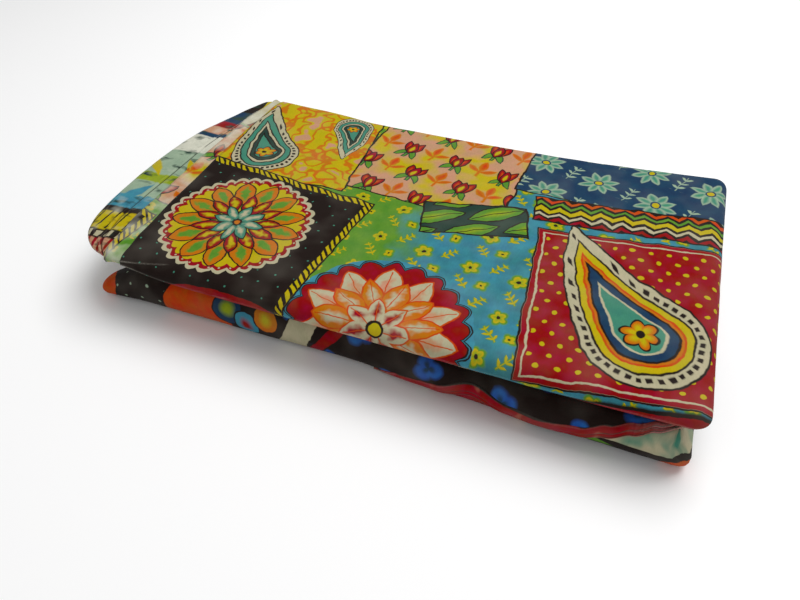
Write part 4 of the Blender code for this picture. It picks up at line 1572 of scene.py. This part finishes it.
class FOLDEDCLOTH_OT_bottom_stretch(bpy.types.Operator):
    """Lays the lowest stretch under the lower pack and up round its front, right and back"""

    bl_idname = "folded_cloth.bottom_stretch"
    bl_label = "Bottom Stretch"
    bl_options = {"REGISTER", "UNDO"}

    def execute(self, context):
        surface = under_face(context.scene.folded_cloth_sizes)
        material = printed("bottom stretch", (0.0, -0.130))
        add_sheet(
            "under_face", surface, material, ["under_stretch"],
        )
        return {"FINISHED"}


class FOLDEDCLOTH_OT_hidden_layers(bpy.types.Operator):
    """Adds the hidden layers of both packs, whose folded edges show at the right and the back"""

    bl_idname = "folded_cloth.hidden_layers"
    bl_label = "Hidden Layers"
    bl_options = {"REGISTER", "UNDO"}

    def execute(self, context):
        material = printed("folded edges", (0.0, 0.0), 0.05)
        dress(make_upper_folds(), material, ["upper_layers"])
        dress(make_lower_folds(), material, ["lower_layers"])
        return {"FINISHED"}


CAMERA_PLACE = (0.12771, -0.32133, 0.30295)
CAMERA_AZIMUTH = 22.4
CAMERA_ELEVATION = 44.6
CAMERA_ROLL = -1.48
FOCAL_PIXELS = 652.0
IMAGE_WIDTH = 800
SENSOR_WIDTH = 36.0
CLIP_START = 0.01


def place_camera():
    """The camera as fitted to the photo."""
    azimuth, elevation, roll = (math.radians(a) for a in (CAMERA_AZIMUTH, CAMERA_ELEVATION, CAMERA_ROLL))
    level = math.cos(elevation)
    back = Vector((math.sin(azimuth) * level, -math.cos(azimuth) * level, math.sin(elevation)))
    right = (-back).cross(Vector((0.0, 0.0, 1.0))).normalized()
    up = right.cross(-back)
    turned_right = right * math.cos(roll) + up * math.sin(roll)
    turned_up = up * math.cos(roll) - right * math.sin(roll)
    bpy.ops.object.camera_add()
    camera = bpy.context.object
    camera.matrix_world = Matrix((
        (turned_right.x, turned_up.x, back.x, CAMERA_PLACE[0]),
        (turned_right.y, turned_up.y, back.y, CAMERA_PLACE[1]),
        (turned_right.z, turned_up.z, back.z, CAMERA_PLACE[2]),
        (0.0, 0.0, 0.0, 1.0),
    ))
    camera.data.sensor_width = SENSOR_WIDTH
    camera.data.lens = FOCAL_PIXELS / IMAGE_WIDTH * SENSOR_WIDTH
    camera.data.clip_start = CLIP_START
    bpy.context.scene.camera = camera


FLOOR_SIZE = 6.0
FLOOR_GAP = 0.0002
FLOOR_SQUARES = 8
FLOOR_ROUGHNESS = 0.9
FLOOR_SPECULAR = 0.1


class FOLDEDCLOTH_OT_stage(bpy.types.Operator):
    """Sets up the floor, the lights and the camera"""

    bl_idname = "folded_cloth.stage"
    bl_label = "Stage"
    bl_options = {"REGISTER", "UNDO"}

    def execute(self, context):
        studio = context.scene.folded_cloth_studio
        place_camera()
        deselect()
        bpy.ops.mesh.primitive_grid_add(
            x_subdivisions=FLOOR_SQUARES, y_subdivisions=FLOOR_SQUARES, size=FLOOR_SIZE,
            location=(0.0, 0.0, -FLOOR_GAP),
        )
        floor = context.object
        floor.name = "floor"
        paper = bpy.data.materials.new("pale floor")
        paper.use_nodes = True
        shader = paper.node_tree.nodes["Principled BSDF"]
        shader.inputs["Base Color"].default_value = (*[studio.floor_tone] * 3, 1.0)
        shader.inputs["Roughness"].default_value = FLOOR_ROUGHNESS
        shader.inputs["Specular IOR Level"].default_value = FLOOR_SPECULAR
        floor.data.materials.append(paper)
        for name, place, size, power in (
            ("key light", (0.35, 0.45, 1.25), 1.0, studio.key_power),
            ("fill light", (-0.90, -0.90, 0.90), 1.2, studio.fill_power),
        ):
            bpy.ops.object.light_add(type="AREA", location=place)
            light = context.object
            light.name = name
            light.data.size = size
            light.data.energy = power
            light.rotation_euler = (-Vector(place)).to_track_quat("-Z", "Y").to_euler()
        world = bpy.data.worlds.new("studio")
        world.use_nodes = True
        background = world.node_tree.nodes["Background"]
        background.inputs["Color"].default_value = (1.0, 1.0, 1.0, 1.0)
        background.inputs["Strength"].default_value = studio.sky
        context.scene.world = world
        context.scene.view_settings.view_transform = "Standard"
        return {"FINISHED"}


GROUPS = {
    "folded_cloth_sizes": FoldedClothSizes,
    "folded_cloth_inks": FoldedClothInks,
    "folded_cloth_studio": FoldedClothStudio,
}
OPERATORS = (
    FOLDEDCLOTH_OT_hidden_layers,
    FOLDEDCLOTH_OT_printed_face,
    FOLDEDCLOTH_OT_left_end,
    FOLDEDCLOTH_OT_dark_stretch,
    FOLDEDCLOTH_OT_bottom_stretch,
    FOLDEDCLOTH_OT_stage,
)


class FOLDEDCLOTH_PT_panel(bpy.types.Panel):
    """The steps and the settings of the folded cloth"""

    bl_label = "Folded Cloth"
    bl_space_type = "VIEW_3D"
    bl_region_type = "UI"
    bl_category = "Folded Cloth"

    def draw(self, context):
        for operator in OPERATORS:
            self.layout.operator(operator.bl_idname)
        for group, kind in GROUPS.items():
            box = self.layout.box()
            for setting in kind.__annotations__:
                box.prop(getattr(context.scene, group), setting)


def register():
    for group, kind in GROUPS.items():
        bpy.utils.register_class(kind)
        setattr(bpy.types.Scene, group, bpy.props.PointerProperty(type=kind))
    for kind in (*OPERATORS, FOLDEDCLOTH_PT_panel):
        bpy.utils.register_class(kind)


def unregister():
    for kind in reversed((*OPERATORS, FOLDEDCLOTH_PT_panel)):
        bpy.utils.unregister_class(kind)
    for group, kind in GROUPS.items():
        delattr(bpy.types.Scene, group)
        bpy.utils.unregister_class(kind)


def main():
    register()
    for operator in OPERATORS:
        step = getattr(bpy.ops.folded_cloth, operator.bl_idname.split(".")[1])
        step()


if __name__ == "__main__":
    main()
